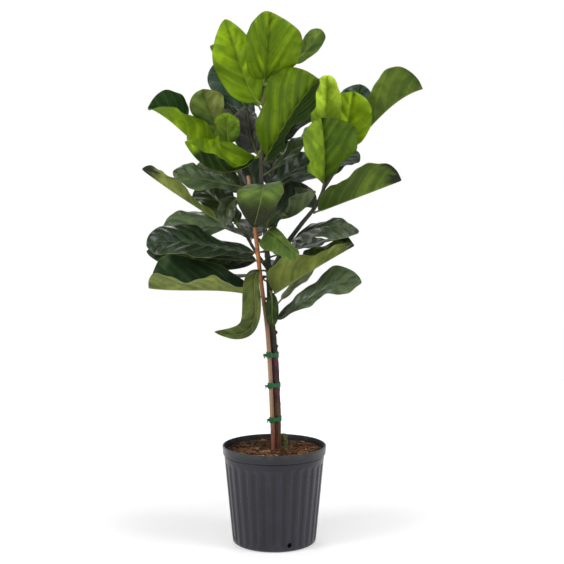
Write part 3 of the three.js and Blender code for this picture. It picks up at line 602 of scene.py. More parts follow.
def find_frames(leaf):
    """Gives the leaf frame_at. Up is carried along the midrib without turning about it."""
    s = np.arange(MIDRIB_SAMPLES + 1) / MIDRIB_SAMPLES
    ahead, behind = np.minimum(s + s[1], 1), np.maximum(s - s[1], 0)
    directions = unit(leaf.point_at(ahead) - leaf.point_at(behind))

    def level(n, direction):
        return unit(n - direction * np.sum(n * direction, axis=-1, keepdims=True))

    ups = np.zeros((MIDRIB_SAMPLES + 1, 3))
    ups[FACE_AT] = level(np.array(leaf.face, dtype=float), directions[FACE_AT])
    for i in range(FACE_AT + 1, MIDRIB_SAMPLES + 1):
        ups[i] = level(ups[i - 1], directions[i])
    for i in range(FACE_AT - 1, -1, -1):
        ups[i] = level(ups[i + 1], directions[i])

    def frame_at(s):
        """Up and side at each share of the midrib. The blade is twisted evenly from foot to tip."""
        x = s * MIDRIB_SAMPLES
        i = np.minimum(x.astype(int), MIDRIB_SAMPLES - 1)
        w = (x - i)[..., None]
        direction = unit(directions[i] * (1 - w) + directions[i + 1] * w)
        up = level(ups[i] * (1 - w) + ups[i + 1] * w, direction)
        along = np.clip((s - leaf.foot) / (1 - leaf.foot), 0, 1)[..., None]
        angle = math.radians(leaf.twist) * (along - 0.5)
        up = up * np.cos(angle) + np.cross(direction, up) * np.sin(angle)
        return up, np.cross(direction, up)

    leaf.frame_at = frame_at


def blade_surface(leaf):
    """The middle surface of the blade, row by row, with what the material needs to know."""
    t = np.linspace(0, 1, BLADE_ROWS)
    b = 0.62 * t + 0.38 * (0.5 - 0.5 * np.cos(math.pi * t))
    s = leaf.foot + (1 - leaf.foot) * b
    up, side = leaf.frame_at(s)
    rounding = np.sqrt(np.clip(1 - ((b - 0.988) / 0.012).clip(0) ** 2, 0, 1))
    share = outline_at(OUTLINES[leaf.outline], b) * rounding
    v = ACROSS[None, :]
    size = np.abs(v)
    left = v < 0
    half = leaf.width / 2 * np.where(left, *leaf.share)
    half = np.maximum(half * share[:, None], 0.8)
    fold = np.radians(np.where(left, *leaf.fold))
    end = fold + CURL * size
    level = (np.sin(end) - np.sin(fold)) / CURL
    lift = (np.cos(fold) - np.cos(end)) / CURL
    rows = b[:, None]
    swell = np.minimum(1, rows / 0.3)
    turn = leaf.phase + np.where(left, 0, 2.1)
    wave = leaf.wave * swell * v * v * np.sin(2 * math.pi * WAVES * rows + turn)
    wave = wave + 0.03 * swell * size ** 4 * np.sin(2 * math.pi * RIPPLES * rows + 2.3 * turn)
    along = rows * leaf.total * (1 - leaf.foot)
    mm = half * size
    veins = (along - leaf.rake * mm - 0.004 * mm * mm + np.where(left, 0, 0.45) * VEIN_GAP) / VEIN_GAP
    pillow = (0.5 - 0.5 * np.cos(2 * math.pi * veins)) ** 0.8
    pillow = pillow * smooth(1, 9, mm) * (1 - size ** 3) - 0.5 * (1 - smooth(0, 5, mm))
    level = half * (level - wave * np.sin(end))
    lift = half * (lift + wave * np.cos(end)) + leaf.quilt * pillow * np.minimum(1, half / 20)
    surface = leaf.point_at(s)[:, None, :] + (np.sign(v) * level)[..., None] * side[:, None, :]
    return surface + lift[..., None] * up[:, None, :], b, half, veins, along


def stalk_rings(leaf):
    """The stalk, which runs on as the midrib, let into the blade. Also how far each ring is."""
    total, foot = leaf.total, leaf.foot
    bare = np.concatenate([np.array([-0.4, 0.35, 0.8]) * 3.5 / total, np.linspace(0.1, 0.95, 7) * foot])
    s = np.sort(np.concatenate([bare[bare < foot], foot + (1 - foot) * np.linspace(0.0, 0.97, 34)]))
    inside = np.clip(s, 0, 1)
    b = (inside - foot) / (1 - foot)
    along = np.clip(b, 0, 1)
    up, side = leaf.frame_at(inside)
    centre = leaf.point_at(inside) + np.where(s < 0, s * total, 0)[:, None] * leaf.out
    radius = np.where(b < 0, PETIOLE_RADIUS * (0.86 + 0.45 * np.exp(-(inside * total / 5) ** 2)),
                      2.3 - 1.9 * along ** 0.75)
    centre = centre - up * np.where(b < 0, 0, radius * 0.5 * smooth(0, 0.06, b))[:, None]
    ring = circle(turns_of(STALK_SIDES), 1, 0)[:, :2] @ np.stack([side, up], axis=1)
    return centre[:, None, :] + radius[:, None, None] * ring, inside * total


def slab_faces(rows, columns):
    """The faces of a thin sheet whose underside repeats the points of its top."""
    count = rows * columns
    top = grid_faces(rows, columns, closed=False)
    under = [(a + count, d + count, c + count, b + count) for a, b, c, d in top]
    grid = np.arange(count).reshape(rows, columns).tolist()
    left, right = [row[0] for row in grid], [row[-1] for row in grid]
    rim = [(p, q, q + count, p + count) for edge in (left, grid[-1]) for p, q in zip(edge, edge[1:])]
    rim += [(p, p + count, q + count, q) for edge in (right, grid[0]) for p, q in zip(edge, edge[1:])]
    return top + under + rim


def make_leaf(index, leaf, looks):
    find_midrib(leaf)
    find_frames(leaf)
    points, b, half, veins, along = blade_surface(leaf)
    rows, columns = points.shape[:2]
    count = rows * columns
    normal = unit(np.cross(np.gradient(points, axis=1), np.gradient(points, axis=0)))
    thick = normal * (0.45 - 0.2 * np.abs(ACROSS)[None, :, None] ** 2)
    stalk, far = stalk_rings(leaf)
    stalk_count = len(stalk) * STALK_SIDES
    slab = np.concatenate([points + thick, points - thick]).reshape(-1, 3), slab_faces(rows, columns)
    vertices, faces = merged([slab, body(stalk)])
    slots = [int(i >= len(slab[1])) for i in range(len(faces))]
    piece = new_piece(f"leaf_{index:02d}_blade", np.clip(vertices, *BOX), faces, looks, slots, sharp=60)

    # What the materials read: first on the top, then on the underside, then on the stalk
    level = np.ones((rows, columns))
    v = level * np.abs(ACROSS)
    bb = level * b[:, None]
    none = np.zeros((stalk_count, 3))
    facts = np.stack([veins, v, bb], axis=-1).reshape(-1, 3)
    keep(piece, "leaf", facts, facts, none)
    spot = np.stack([ACROSS * half / 100 + index * 3.7, level * along / 100, level * index * 1.3],
                    axis=-1).reshape(-1, 3)
    keep(piece, "spot", spot, spot + 7, none)
    left, right, lower, end = [
        np.array(srgb(*TINTS[name])) for name in (leaf.left, leaf.right, leaf.under, leaf.end)]
    to_right = smooth(-0.05, 0.05, ACROSS)[None, :, None]
    upper = np.broadcast_to(left * (1 - to_right) + right * to_right, (rows, columns, 4))
    # On one leaf the underside turns to another colour at its tip: painted light where that tip is lit.
    to_tip = smooth(0.8, 0.93, bb)[:, :, None]
    lower = lower * (1 - to_tip) + end * to_tip
    stalk_tint = 0.25 * left + 0.25 * right + 0.5 * np.array(srgb(*STALK))
    keep(piece, "tint", upper.reshape(-1, 4), lower.reshape(-1, 4),
         np.tile(stalk_tint, (stalk_count, 1)))
    keep(piece, "back", np.zeros(count), np.ones(count + stalk_count))
    keep(piece, "dull", np.full(2 * count + stalk_count, leaf.dull))
    # Real scorch browns the tip's edge. The other term is painted shade, which darkens the blade
    # towards its tip.
    edge = bb + 0.05 * np.sin(9 * v + index) + 0.03 * np.sin(23 * v + 2 * index)
    scorch = leaf.scorch
    burnt_and_shaded = smooth(1 - scorch, 1 - 0.4 * scorch, edge) if scorch else 0 * edge
    burnt_and_shaded = np.maximum(burnt_and_shaded, smooth(0.4, 0.78, bb) * leaf.dusk).ravel()
    stalk_foot = np.repeat(np.clip(1 - far / 9, 0, 1) * 0.8, STALK_SIDES)
    keep(piece, "burn_and_shade", burnt_and_shaded, burnt_and_shaded, stalk_foot)
    hooked(piece, "leaf_" + leaf.tone, f"leaf_{index:02d}")


# Leaf colours as a screen shows them. A leaf's tone, which sets its gloss, is that of its upper
# colour, unless its row names another. Each tone has a usual underside.

TONES = {
    "young": {"butter": (176, 206, 60), "lemon": (146, 178, 20), "lime": (115, 146, 9),
              "meadow": (107, 136, 10), "spring": (92, 120, 8), "grass": (92, 119, 5)},
    "mature": {"leaf": (68, 94, 15), "olive": (106, 116, 54), "khaki": (78, 90, 42),
               "fern": (84, 106, 42), "herb": (76, 100, 40), "frond": (92, 116, 48),
               "gloom": (30, 54, 26), "bay": (54, 75, 28)},
    "deep": {"moss": (40, 58, 18), "pine": (20, 52, 10), "deep": (20, 44, 16), "night": (58, 57, 57),
             # sage is a leaf's grey-green, made pale by a painted sheen.
             "teal": (14, 52, 32), "sage": (164, 170, 140), "ash": (74, 91, 63),
             # umber is painted shade.
             "reed": (80, 100, 65), "slate": (54, 68, 45), "umber": (40, 38, 20),
             "ivy": (56, 72, 34)},
    # shade is painted shade, for a half or an underside that lies in shadow.
    "underside": {"limeback": (108, 136, 26), "mossback": (76, 96, 28), "shade": (26, 46, 4),
                  "straw": (114, 125, 60)},
}
TINTS = {name: colour for colours in TONES.values() for name, colour in colours.items()}
UNDERSIDES = {"young": "limeback", "mature": "mossback", "deep": "moss"}
STALK = (120, 128, 60)
USUAL = {"share": (1, 1), "fold": (15, 15), "wave": 0.12, "twist": 0, "petiole": 28,
         "outline": "fiddle", "scorch": 0, "dusk": 0, "dull": 0.0, "quilt": 3.4, "rake": 0.85}


def leaf(stem, at, first, second, tip, face, upper, width=130, **rest):
    """One leaf. stem and at: what carries it, and at which height. first, second and tip: the
    midrib's course. face: where the upper side looks. upper: its colour there; left and right are
    for a half that differs, under is for the underside, and end for the underside's tip.
    share: of the half width that the left and the right half reach. fold: degrees that they rise.
    scorch: share of the blade that is brown at its tip. dusk: how much painted shade
    darkens the blade towards its tip. dull: how much of its gloss it lacks. quilt: how far the
    blade bulges between its veins. rake: how far the veins run forward for each millimetre outwards."""
    tone = rest.get("tone") or next(name for name, colours in TONES.items() if upper in colours)
    under = rest.get("under") or UNDERSIDES[tone]
    row = dict(USUAL, stem=stem, at=at, first=first, second=second, tip=tip, face=face, width=width,
               tone=tone, left=upper, right=upper, under=under, end=under)
    return SimpleNamespace(**(row | rest))


LEAVES = [
    # Top of the trunk
    leaf("trunk", 1068, (-61, -8, 1112), (-89, -16, 1188), (-116, -18, 1266), (-0.15, -1, 0.3),
         "lime", 122, share=(1, 0.75), fold=(5, 14), petiole=14, outline="pointed"),
    leaf("trunk", 1110, (-20, -54, 1162), (-15, -82, 1224), (-7, -86, 1275), (0.05, -1, 0.15),
         "meadow", 166, share=(0.7, 1), fold=(40, 1), wave=0.05, outline="oblong", quilt=5, rake=1.7),
    leaf("trunk", 1110, (14, 30, 1146), (68, 42, 1190), (112, 40, 1250), (-0.25, 0.93, 0.25),
         "fern", 50, fold=(10, 10), petiole=100, outline="broad", under="fern"),
    # Its right half is painted shade.
    leaf("trunk", 925, (15, -58, 998), (57, -85, 1063), (105, -95, 1120), (-0.25, -1, 0.25),
         "grass", 190, fold=(2, 58), outline="broad", right="shade", quilt=5, rake=1.25),
    # Right branches
    leaf("right", 952, (126, -30, 1010), (125, -40, 1075), (127, -34, 1134), (-0.2, -1, 0.1),
         "butter", 84, fold=(35, 35), outline="oblong"),
    leaf("farRight", 938, (170, -6, 985), (180, -14, 1042), (188, -20, 1097), (-0.15, -1, 0.2),
         "lemon", 112, fold=(14, 12), outline="oblong"),
    leaf("farRight", 965, (180, 52, 1005), (196, 82, 1065), (212, 98, 1122), (-0.2, -0.8, 0.55),
         "teal", 84),
    leaf("right", 868, (119, -55, 925), (116, -88, 980), (110, -98, 1032), (0.1, -1, 0.25),
         "leaf", 168, fold=(52, 2), petiole=14, outline="tapered", tone="young", left="limeback",
         quilt=5, rake=1.1),
    leaf("farRight", 980, (250, 10, 1036), (301, -2, 1079), (354, -12, 1104), (-0.68, 0, 0.73),
         "leaf", 160, fold=(44, 76), petiole=18, quilt=1.6),
    # Upper left
    leaf("highLeft", 905, (-165, -18, 956), (-231, -32, 1016), (-298, -38, 1058), (0.55, 0.05, 0.8),
         "pine", 142, share=(0.9, 1.15), fold=(62, 20), twist=-140, petiole=58, outline="broad",
         tone="young", under="lime"),
    leaf("highLeft", 965, (-132, 26, 1010), (-157, 34, 1060), (-172, 32, 1106), (-0.25, -1, 0.15),
         "olive", 88, left="fern", under="moss"),
    leaf("trunk", 1030, (-66, 30, 1060), (-105, 44, 1115), (-140, 50, 1172), (-0.45, -0.75, 0.5),
         "teal", 92, fold=(20, 20)),
    leaf("trunk", 1000, (-60, 50, 1020), (-98, 84, 1055), (-133, 100, 1095), (-0.3, -0.5, 0.8),
         "pine", 90),
    leaf("highLeft", 966, (-109, -13, 985), (-112, -14, 1014), (-110, -12, 1047), (-0.2, -1, 0.15),
         "spring", 64, fold=(10, 10), petiole=14, outline="oblong", tone="mature", under="moss"),
    # Its underside is painted shade near the stem and painted light, a lit lime, at its tip.
    leaf("trunk", 958, (-72, -56, 918), (-138, -96, 912), (-205, -114, 977), (0, -0.3, 0.95),
         "lime", 196, share=(0.6, 1), fold=(40, 48), outline="oblong", under="shade", end="lime"),
    # Left
    leaf("lowLeft", 781, (-182, -20, 822), (-245, -30, 864), (-314, -30, 914), (0.5, -0.1, 0.85),
         "fern", 92, fold=(50, 22), under="olive", scorch=0.24),
    leaf("highLeft", 868, (-118, -26, 880), (-180, -48, 892), (-238, -58, 908), (0.25, -0.6, 0.75),
         "reed", 84, fold=(5, 10)),
    leaf("highLeft", 850, (-90, 42, 870), (-150, 72, 897), (-200, 92, 912), (0.2, -0.7, 0.7),
         "ivy", 126),
    leaf("lowLeft", 765, (-110, 54, 808), (-150, 90, 843), (-185, 120, 870), (0.2, -0.8, 0.6),
         "moss", 100),
    leaf("highLeft", 850, (-84, -40, 846), (-106, -76, 828), (-112, -98, 782), (-0.2, -0.9, 0.4),
         "slate", 44, fold=(20, 20), petiole=55, outline="oblong"),
    leaf("lowLeft", 772, (-154, 30, 775), (-212, 30, 770), (-270, 12, 748), (0, -0.3, 0.95),
         "reed", 114, fold=(0, 32), petiole=14, outline="oblong"),
    leaf("trunk", 716, (-110, -40, 722), (-212, -72, 742), (-300, -78, 734), (0, -0.5, 0.87),
         "deep", 118, fold=(4, 20), under="mossback", quilt=5),
    leaf("trunk", 692, (-110, 36, 694), (-215, 40, 702), (-312, 30, 713), (0, -0.6, 0.8),
         "deep", 84, fold=(-5, 5), outline="oblong", under="mossback"),
    leaf("trunk", 600, (-108, -22, 622), (-202, -50, 627), (-298, -60, 633), (0, 0, 1),
         "gloom", 168, fold=(29, 74), outline="blunt", under="straw"),
    # Right
    leaf("right", 812, (159, -30, 833), (227, -45, 859), (302, -45, 888), (-0.33, 0, 0.94),
         "bay", 148, fold=(45, 62), petiole=14, outline="broad", scorch=0.15),
    leaf("right", 738, (88, -50, 770), (144, -78, 780), (200, -80, 768), (0, -0.5, 0.87),
         "slate", 110, share=(0.62, 1), fold=(5, 5), petiole=14, outline="oblong"),
    leaf("trunk", 610, (59, -45, 655), (123, -57, 695), (190, -60, 734), (-0.45, 0, 0.9),
         "herb", 148, fold=(40, 50), twist=50, petiole=10, outline="squared", under="olive",
         scorch=0.1),
    # Its pale grey is partly the leaf's colour and partly a painted sheen.
    leaf("trunk", 578, (28, 15, 608), (66, 35, 650), (106, 50, 700), (-0.5, -0.5, 0.6),
         "sage", 60, fold=(8, 8)),
    leaf("trunk", 548, (60, -25, 588), (132, -42, 632), (209, -48, 644), (-0.3, -0.25, 0.9),
         "ash", 98, fold=(36, 0), wave=0.2, petiole=8),
    # Middle, towards the front
    # This leaf's lower part is darkened with painted shade.
    leaf("trunk", 862, (-25, -50, 876), (-28, -118, 850), (-46, -150, 780), (-0.15, -0.8, 0.6),
         "frond", 108, share=(0.95, 1.06), petiole=44, outline="pointed", dusk=1, quilt=1.6),
    # Its dark umber is painted shade beneath the leaf in front of it.
    leaf("trunk", 786, (-20, -38, 772), (-16, -74, 784), (-10, -106, 806), (0, -0.1, 1),
         "umber", 96, fold=(24, 24)),
    leaf("trunk", 806, (22, -38, 797), (64, -60, 816), (98, -68, 862), (-0.5, -0.35, 0.75),
         "moss", 124, fold=(34, 56), under="ivy"),
    leaf("trunk", 752, (-8, -40, 764), (22, -82, 742), (58, -104, 714), (-0.3, -0.9, 0.3),
         "frond", 88, share=(0.36, 1), fold=(10, 10), petiole=14, outline="squared"),
    leaf("trunk", 668, (-46, -82, 636), (-49, -96, 552), (-140, -92, 531), (-0.1, -0.95, 0.1),
         "khaki", 62, share=(0.5, 1), fold=(30, 15), outline="pointed"),
    leaf("trunk", 620, (-5, -21, 594), (-5, -21, 566), (-1, -20, 536), (0, -1, 0.05),
         "moss", 32, fold=(5, 5), petiole=8, outline="oblong", tone="mature", under="moss"),
    leaf("trunk", 944, (-52, 12, 976), (-61, 17, 1018), (-66, 14, 1062), (-0.4, -0.9, 0.1),
         "night", 86, share=(1, 0.75), fold=(20, 20), petiole=14, outline="oblong"),
    leaf("trunk", 898, (10, -25, 925), (42, -42, 955), (75, -50, 985), (-0.35, -0.6, 0.7), "reed", 60),
    leaf("trunk", 850, (10, 35, 880), (52, 58, 915), (92, 78, 948), (-0.4, -0.6, 0.7), "deep", 105),
    leaf("back", 962, (36, 74, 1008), (84, 62, 1066), (134, 50, 1126), (0, -1, 0.3), "deep", 84),
    # Back
    leaf("back", 978, (15, 150, 1030), (22, 190, 1080), (30, 220, 1135), (0, 0.8, 0.6), "leaf"),
    leaf("back", 952, (60, 140, 970), (110, 190, 1015), (160, 230, 1070), (-0.3, 0.2, 0.9), "leaf"),
    leaf("back", 930, (-48, 130, 955), (-98, 176, 1000), (-145, 212, 1052), (0.3, 0.3, 0.9), "leaf"),
    leaf("back", 880, (70, 118, 890), (140, 150, 922), (214, 172, 956), (-0.2, -0.5, 0.85),
         "deep", dull=0.6),
    leaf("back", 860, (-2, 138, 898), (4, 186, 940), (10, 230, 992), (0.05, -0.7, 0.7), "deep", 106),
    leaf("backLow", 752, (-115, 130, 762), (-165, 180, 778), (-212, 230, 792), (0.2, -0.1, 1),
         "deep", dull=1),
    leaf("backLow", 735, (-56, 150, 752), (-50, 215, 766), (-46, 265, 776), (0, -0.2, 1),
         "deep", 120, dull=1),
    leaf("trunk", 700, (40, 70, 712), (92, 130, 722), (146, 185, 732), (-0.1, -0.1, 1),
         "deep", dull=1),
    leaf("trunk", 650, (10, 80, 662), (35, 165, 668), (60, 250, 655), (0, 0.1, 1), "deep", dull=0.6),
    leaf("trunk", 640, (-50, 60, 648), (-100, 125, 640), (-150, 190, 608), (0, 0.1, 1),
         "deep", dull=0.6),
    leaf("trunk", 1045, (-62, 50, 1112), (-108, 72, 1176), (-157, 76, 1212), (-0.2, -1, 0.2),
         "spring", 52, fold=(10, 10), outline="oblong"),
    leaf("trunk", 1060, (-10, 42, 1084), (-4, 70, 1130), (8, 86, 1180), (0, -0.9, 0.4),
         "leaf", 100, share=(0.5, 1), petiole=14, outline="oblong"),
    # Deep in the middle
    leaf("trunk", 798, (8, 34, 812), (42, 50, 836), (82, 66, 872), (-0.2, -0.75, 0.6),
         "deep", 120, dull=0.5),
    leaf("trunk", 838, (-46, 34, 868), (-58, 50, 904), (-68, 60, 942), (0.2, -0.8, 0.55),
         "deep", 80, dull=0.5),
]


def make_leaves():
    ribs = rib_look()
    looks = {
        "young": blade_look("leaf_young", 0.5, 0.1, 0.0, 0.28, (66, 84, 18)),
        "mature": blade_look("leaf_mature", 0.42, 0.15, 0.0, 0.25, (132, 142, 66)),
        "deep": blade_look("leaf_deep", 0.3, 0.4, 0.06, 0.3, (132, 140, 72)),
    }
    for index, row in enumerate(LEAVES):
        row.phase = index * 1.7
        make_leaf(index + 1, row, [looks[row.tone], ribs])


# Trunk with its branches

TRUNK_SIDES = 40
BRANCH_SIDES = 28
STEM_STEP = 5
TRUNK_VOXEL = 1.4
SCARS = [(484, 4), (518, 5)]  # height and size
# The stub from below: how far under its top, how thick, and how much it slants
STUB_RINGS = [(78, 1.12, 0), (44, 1.1, 0), (27, 1.04, 0), (13, 1.0, 0.3), (6, 0.98, 0.8), (2, 0.95, 1),
              (0.8, 0.9, 1), (1.6, 0.6, 0.6)]
STUB_SLANT = 2.2


def stem_body(stem, seed, sides):
    """A stem that is thicker at the rings that old leaves left."""
    draw = random.Random(seed)
    length = sum(np.linalg.norm(b - a) for a, b in zip(stem.points, stem.points[1:]))
    marks = []
    at = draw.uniform(10, 30)
    while at < length:
        marks.append((at / length, draw.uniform(0.03, 0.08), draw.uniform(0, 6.3)))
        at += draw.uniform(22, 46)

    def radius_of(t, turns):
        r = np.full(len(turns), float(stem.radius(t)))
        for place, swell, heading in marks:
            away = (t - place) * length / 3.0
            r += stem.radius(t) * swell * math.exp(-away * away) * (1 + 0.6 * np.cos(turns - heading))
        return r

    return body(stem.rings(int(length / STEM_STEP), sides, radius_of))


def ball(centre, size, sides=14, levels=9):
    leans = math.pi * np.arange(1, levels) / levels
    points, faces = body([circle(turns_of(sides), math.sin(lean), -math.cos(lean)) for lean in leans])
    return points * size + np.array(centre), faces


def stub_body(sides=36):
    """The sawn-off second stem, with a slanting, slightly dished cut."""
    turns = turns_of(sides)
    rings = []
    for below, swell, slant in STUB_RINGS:
        z = STUB["top"] - below
        r = STUB["radius"] * swell * (1 + 0.05 * np.cos(3 * turns + z / 9))
        lean = slant * STUB_SLANT * (np.cos(turns - 2.4) - 1)
        rings.append(circle(turns, r, z + lean, STUB["x"], STUB["y"]))
    return body(rings)


def read_vectors(mesh, key):
    values = np.empty(len(mesh.vertices) * 3, dtype=np.float32)
    mesh.vertices.foreach_get(key, values)
    return values.reshape(-1, 3).astype(float)


def noise_at(points, *scale):
    """Soft noise from about -1 to 1 at each point. scale is per millimetre on each axis."""
    return np.array([noise.noise(Vector(p)) for p in points * np.array(scale)])


def make_trunk():
    parts = [stem_body(stem, 11 + 5 * i, TRUNK_SIDES if stem is TRUNK else BRANCH_SIDES)
             for i, stem in enumerate(STEMS.values())]
    parts.append(stub_body())
    for z, size in SCARS:
        t = TRUNK.at_height(z)
        parts.append(ball(TRUNK.point(t) + np.array((TRUNK.radius(t) - 1, 0, 0)), size))
    rough = new_piece("trunk_rough", *merged(parts))
    modifier = rough.modifiers.new("remesh", "REMESH")
    modifier.mode = "VOXEL"
    modifier.voxel_size = TRUNK_VOXEL * MM
    skin = applied(rough, "trunk_skin")
    points, normals = read_vectors(skin.data, "co") / MM, read_vectors(skin.data, "normal")
    height = points[:, 2]
    coarse = smooth(760, 300, height)
    furrow = np.abs(noise_at(points, 0.34, 0.34, 0.035))
    lump = noise_at(points + 40, 0.09, 0.09, 0.05)
    pit = noise_at(points + 90, 0.55, 0.55, 0.5)
    depth = (0.25 + 0.65 * coarse) * (furrow - 0.35) + (0.25 + 0.5 * coarse) * lump + 0.12 * pit
    points = points + normals * depth[:, None]
    skin.data.vertices.foreach_set("co", (points * MM).astype(np.float32).ravel())
    skin.data.materials.append(bark_look())
    skin.data.shade_smooth()
    from_stub = np.hypot(points[:, 0] - STUB["x"], points[:, 1] - STUB["y"])
    keep(skin, "moss", smooth(13, 10, from_stub) * smooth(284, 271, height))
    skin.data.update()
    hooked(skin, "bark", "trunk")


# Cane

CANE_SIDES = 28
CANE_STEPS = 260
CANE_JOINTS = [0.17, 0.37, 0.56, 0.74, 0.9]


def make_cane():
    length = CANE.points[-1][2] - CANE.points[0][2]
    marks = []

    def radius_of(t, turns):
        away = [(t - joint) * length for joint in CANE_JOINTS]
        swell = sum(0.5 * math.exp(-(mm / 2.6) ** 2) for mm in away)
        groove = sum(0.35 * math.exp(-((mm + 5) / 1.3) ** 2) for mm in away)
        dome = 1 - max(0, (t - 0.9975) / 0.0025) ** 2 * 0.25
        marks.append(min(1, swell * 1.2 + groove * 2))
        return np.full(len(turns), (CANE_RADIUS - 0.25 + swell - groove) * dome)

    rings = CANE.rings(CANE_STEPS, CANE_SIDES, radius_of)
    piece = new_piece("cane_rod", *body(rings), [cane_look()])
    keep(piece, "ring", np.repeat(marks, CANE_SIDES))
    # How far each point lies on the side that is painted in shade.
    east = [ring[:, 0] - ring[:, 0].mean() for ring in rings]
    keep(piece, "lee", *[smooth(-0.25, 0.55, x / CANE_RADIUS) for x in east])
    hooked(piece, "cane", "cane")


# Ties

BELT_STEPS = 120
BAND = [(0, -6.3), (0.5, -6.9), (1.1, -6.3), (1.35, -4.2), (1.15, -1.9), (1.4, 0.7), (1.2, 3.0),
        (1.4, 5.1), (1.0, 6.4), (0.45, 6.9), (0, 6.2), (-0.25, 2.9), (-0.25, -2.9)]
BELT_GAP = 2.6 * CLEARANCE
TAPE_STEPS = 7


def belt_path(z):
    """Points round trunk and cane together, and the way out at each."""
    t = TRUNK.at_height(z)
    trunk, cane = TRUNK.point(t), CANE.point(CANE.at_height(z))
    big = TRUNK.radius(t) + BELT_GAP
    small = CANE_RADIUS + BELT_GAP
    gap = math.hypot(*(cane - trunk)[:2])
    heading = math.atan2(cane[1] - trunk[1], cane[0] - trunk[0])
    lean = math.acos((big - small) / gap)
    turns = heading + lean + (2 * math.pi - 2 * lean) * np.linspace(0, 1, 60)
    first = circle(turns, big, 0, *trunk[:2])
    second = circle(heading - lean + 2 * lean * np.linspace(0, 1, 24), small, 0, *cane[:2])
    loop = np.concatenate([first, second, first[:1]])
    lengths = np.concatenate([[0], np.cumsum(np.linalg.norm(np.diff(loop, axis=0), axis=1))])
    at = np.arange(BELT_STEPS) / BELT_STEPS * lengths[-1]
    path = np.stack([np.interp(at, lengths, loop[:, k]) for k in range(3)], axis=-1)
    along = unit(np.roll(path, -1, axis=0) - np.roll(path, 1, axis=0))
    return path, np.cross(along, (0, 0, 1)), (cane[0] - small, cane[1])


def tape_end(start, heading, length, twist):
    """A short loose end of the tape, beyond the knot."""
    heading = np.array(heading)
    rings = []
    for share in np.arange(TAPE_STEPS + 1) / TAPE_STEPS:
        centre = np.array(start) + heading * length * share + np.array((0, 0, -2.5 * share ** 2))
        roll = 0.9 * share + twist
        up = np.array((0.2 * math.sin(roll), -math.sin(roll), math.cos(roll)))
        thin = unit(np.cross(unit(heading), up)) * 0.45
        wide = up * 3.4 * (1 - 0.25 * share)
        rings.append(centre + np.array([wide + thin, thin - wide, -wide - thin, wide - thin]))
    return body(rings)


def make_tie(index, z, look):
    path, out, (left, front) = belt_path(z)
    rings = []
    for k in range(BELT_STEPS):
        turn = k / BELT_STEPS * 2 * math.pi
        pinch = 1 - 0.3 * math.exp(-((k / BELT_STEPS - 0.9) / 0.05) ** 2)
        drift = 0.9 * math.sin(turn + 2 * index) + 0.35 * math.sin(5 * turn + index)
        puff = 1 + 0.18 * math.sin(9 * turn + 3 * index)
        up = np.array((0, 0, 1))
        rings += [path[k] + out[k] * r * puff + up * (z + drift + h * pinch) for r, h in BAND]
    count = len(BAND)
    last = (BELT_STEPS - 1) * count
    faces = grid_faces(BELT_STEPS, count)
    faces += [(last + j, last + (j + 1) % count, (j + 1) % count, j) for j in range(count)]
    knot = (left - 1.4, front - 1.2, z - 0.5)
    lump, lump_faces = ball(knot, 3.3)
    parts = [(np.array(rings), faces), (lump + 0.5 * np.sin(lump * 1.7), lump_faces),
             tape_end(knot, (-0.9, -0.3, 0.35), 7.5, 0.4 + index),
             tape_end(knot, (-0.75, -0.35, -0.6), 6.5, 1.2)]
    piece = new_piece(f"tie_band_{index + 1}", *merged(parts), [look], sharp=50)
    hooked(piece, "tie", f"tie_{index + 1}")


# Pot: its profile from the middle of the underside, up outside and down inside

POT_SIDES = 16 * RIBS
FLUTE_EDGE = 2.2
WALL_FOOT = 14
WALL_TOP = COLLAR_BOTTOM - 6
WALL = [(103.5 + 17.4 * t, WALL_FOOT + (WALL_TOP - WALL_FOOT) * t) for t in np.linspace(0, 1, 23)]
POT_OUTSIDE = [
    (20, 1.6), (60, 1.6), (84, 1.6), (87, 0.2), (88.5, 0), (95.5, 0), (97.2, 0.5), (100.4, 2.7),
    (101.9, 4.3), (102.4, 6.5), (102.9, 10), *WALL, (121.1, 201), (121.35, 203), (121.6, 205),
    (121.8, 209), (122.1, 214), (122.1, 216.4), (121.3, 217.4), (121.2, 219), (122.2, 219.8),
    (124.8, 220), (125.5, 220.6), (125.7, 222), (126.3, 229), (126.9, 237), (126.95, 239),
    (126.6, 240.4), (125.9, 241), (124, 241), (123.1, 240.7), (122.6, 239.6)]
POT_INSIDE = [(121.3, 230), (NECK_INSIDE, 220), (114, 160), (107, 88), (101, 27), (99, 7),
              (96.5, FLOOR), (60, FLOOR), (20, FLOOR)]
POT_SHARP = 32
DRAIN_SIDES = 28


def drain_body(number):
    """A rod that cuts one drain hole."""
    turn = math.radians(DRAIN_TURN + 360 * number / DRAIN_HOLES)
    ends = [(reach * math.cos(turn), reach * math.sin(turn), DRAIN_HEIGHT) for reach in DRAIN_SPAN]
    return body(Stem(ends).rings(1, DRAIN_SIDES, lambda t, turns: DRAIN_RADIUS))


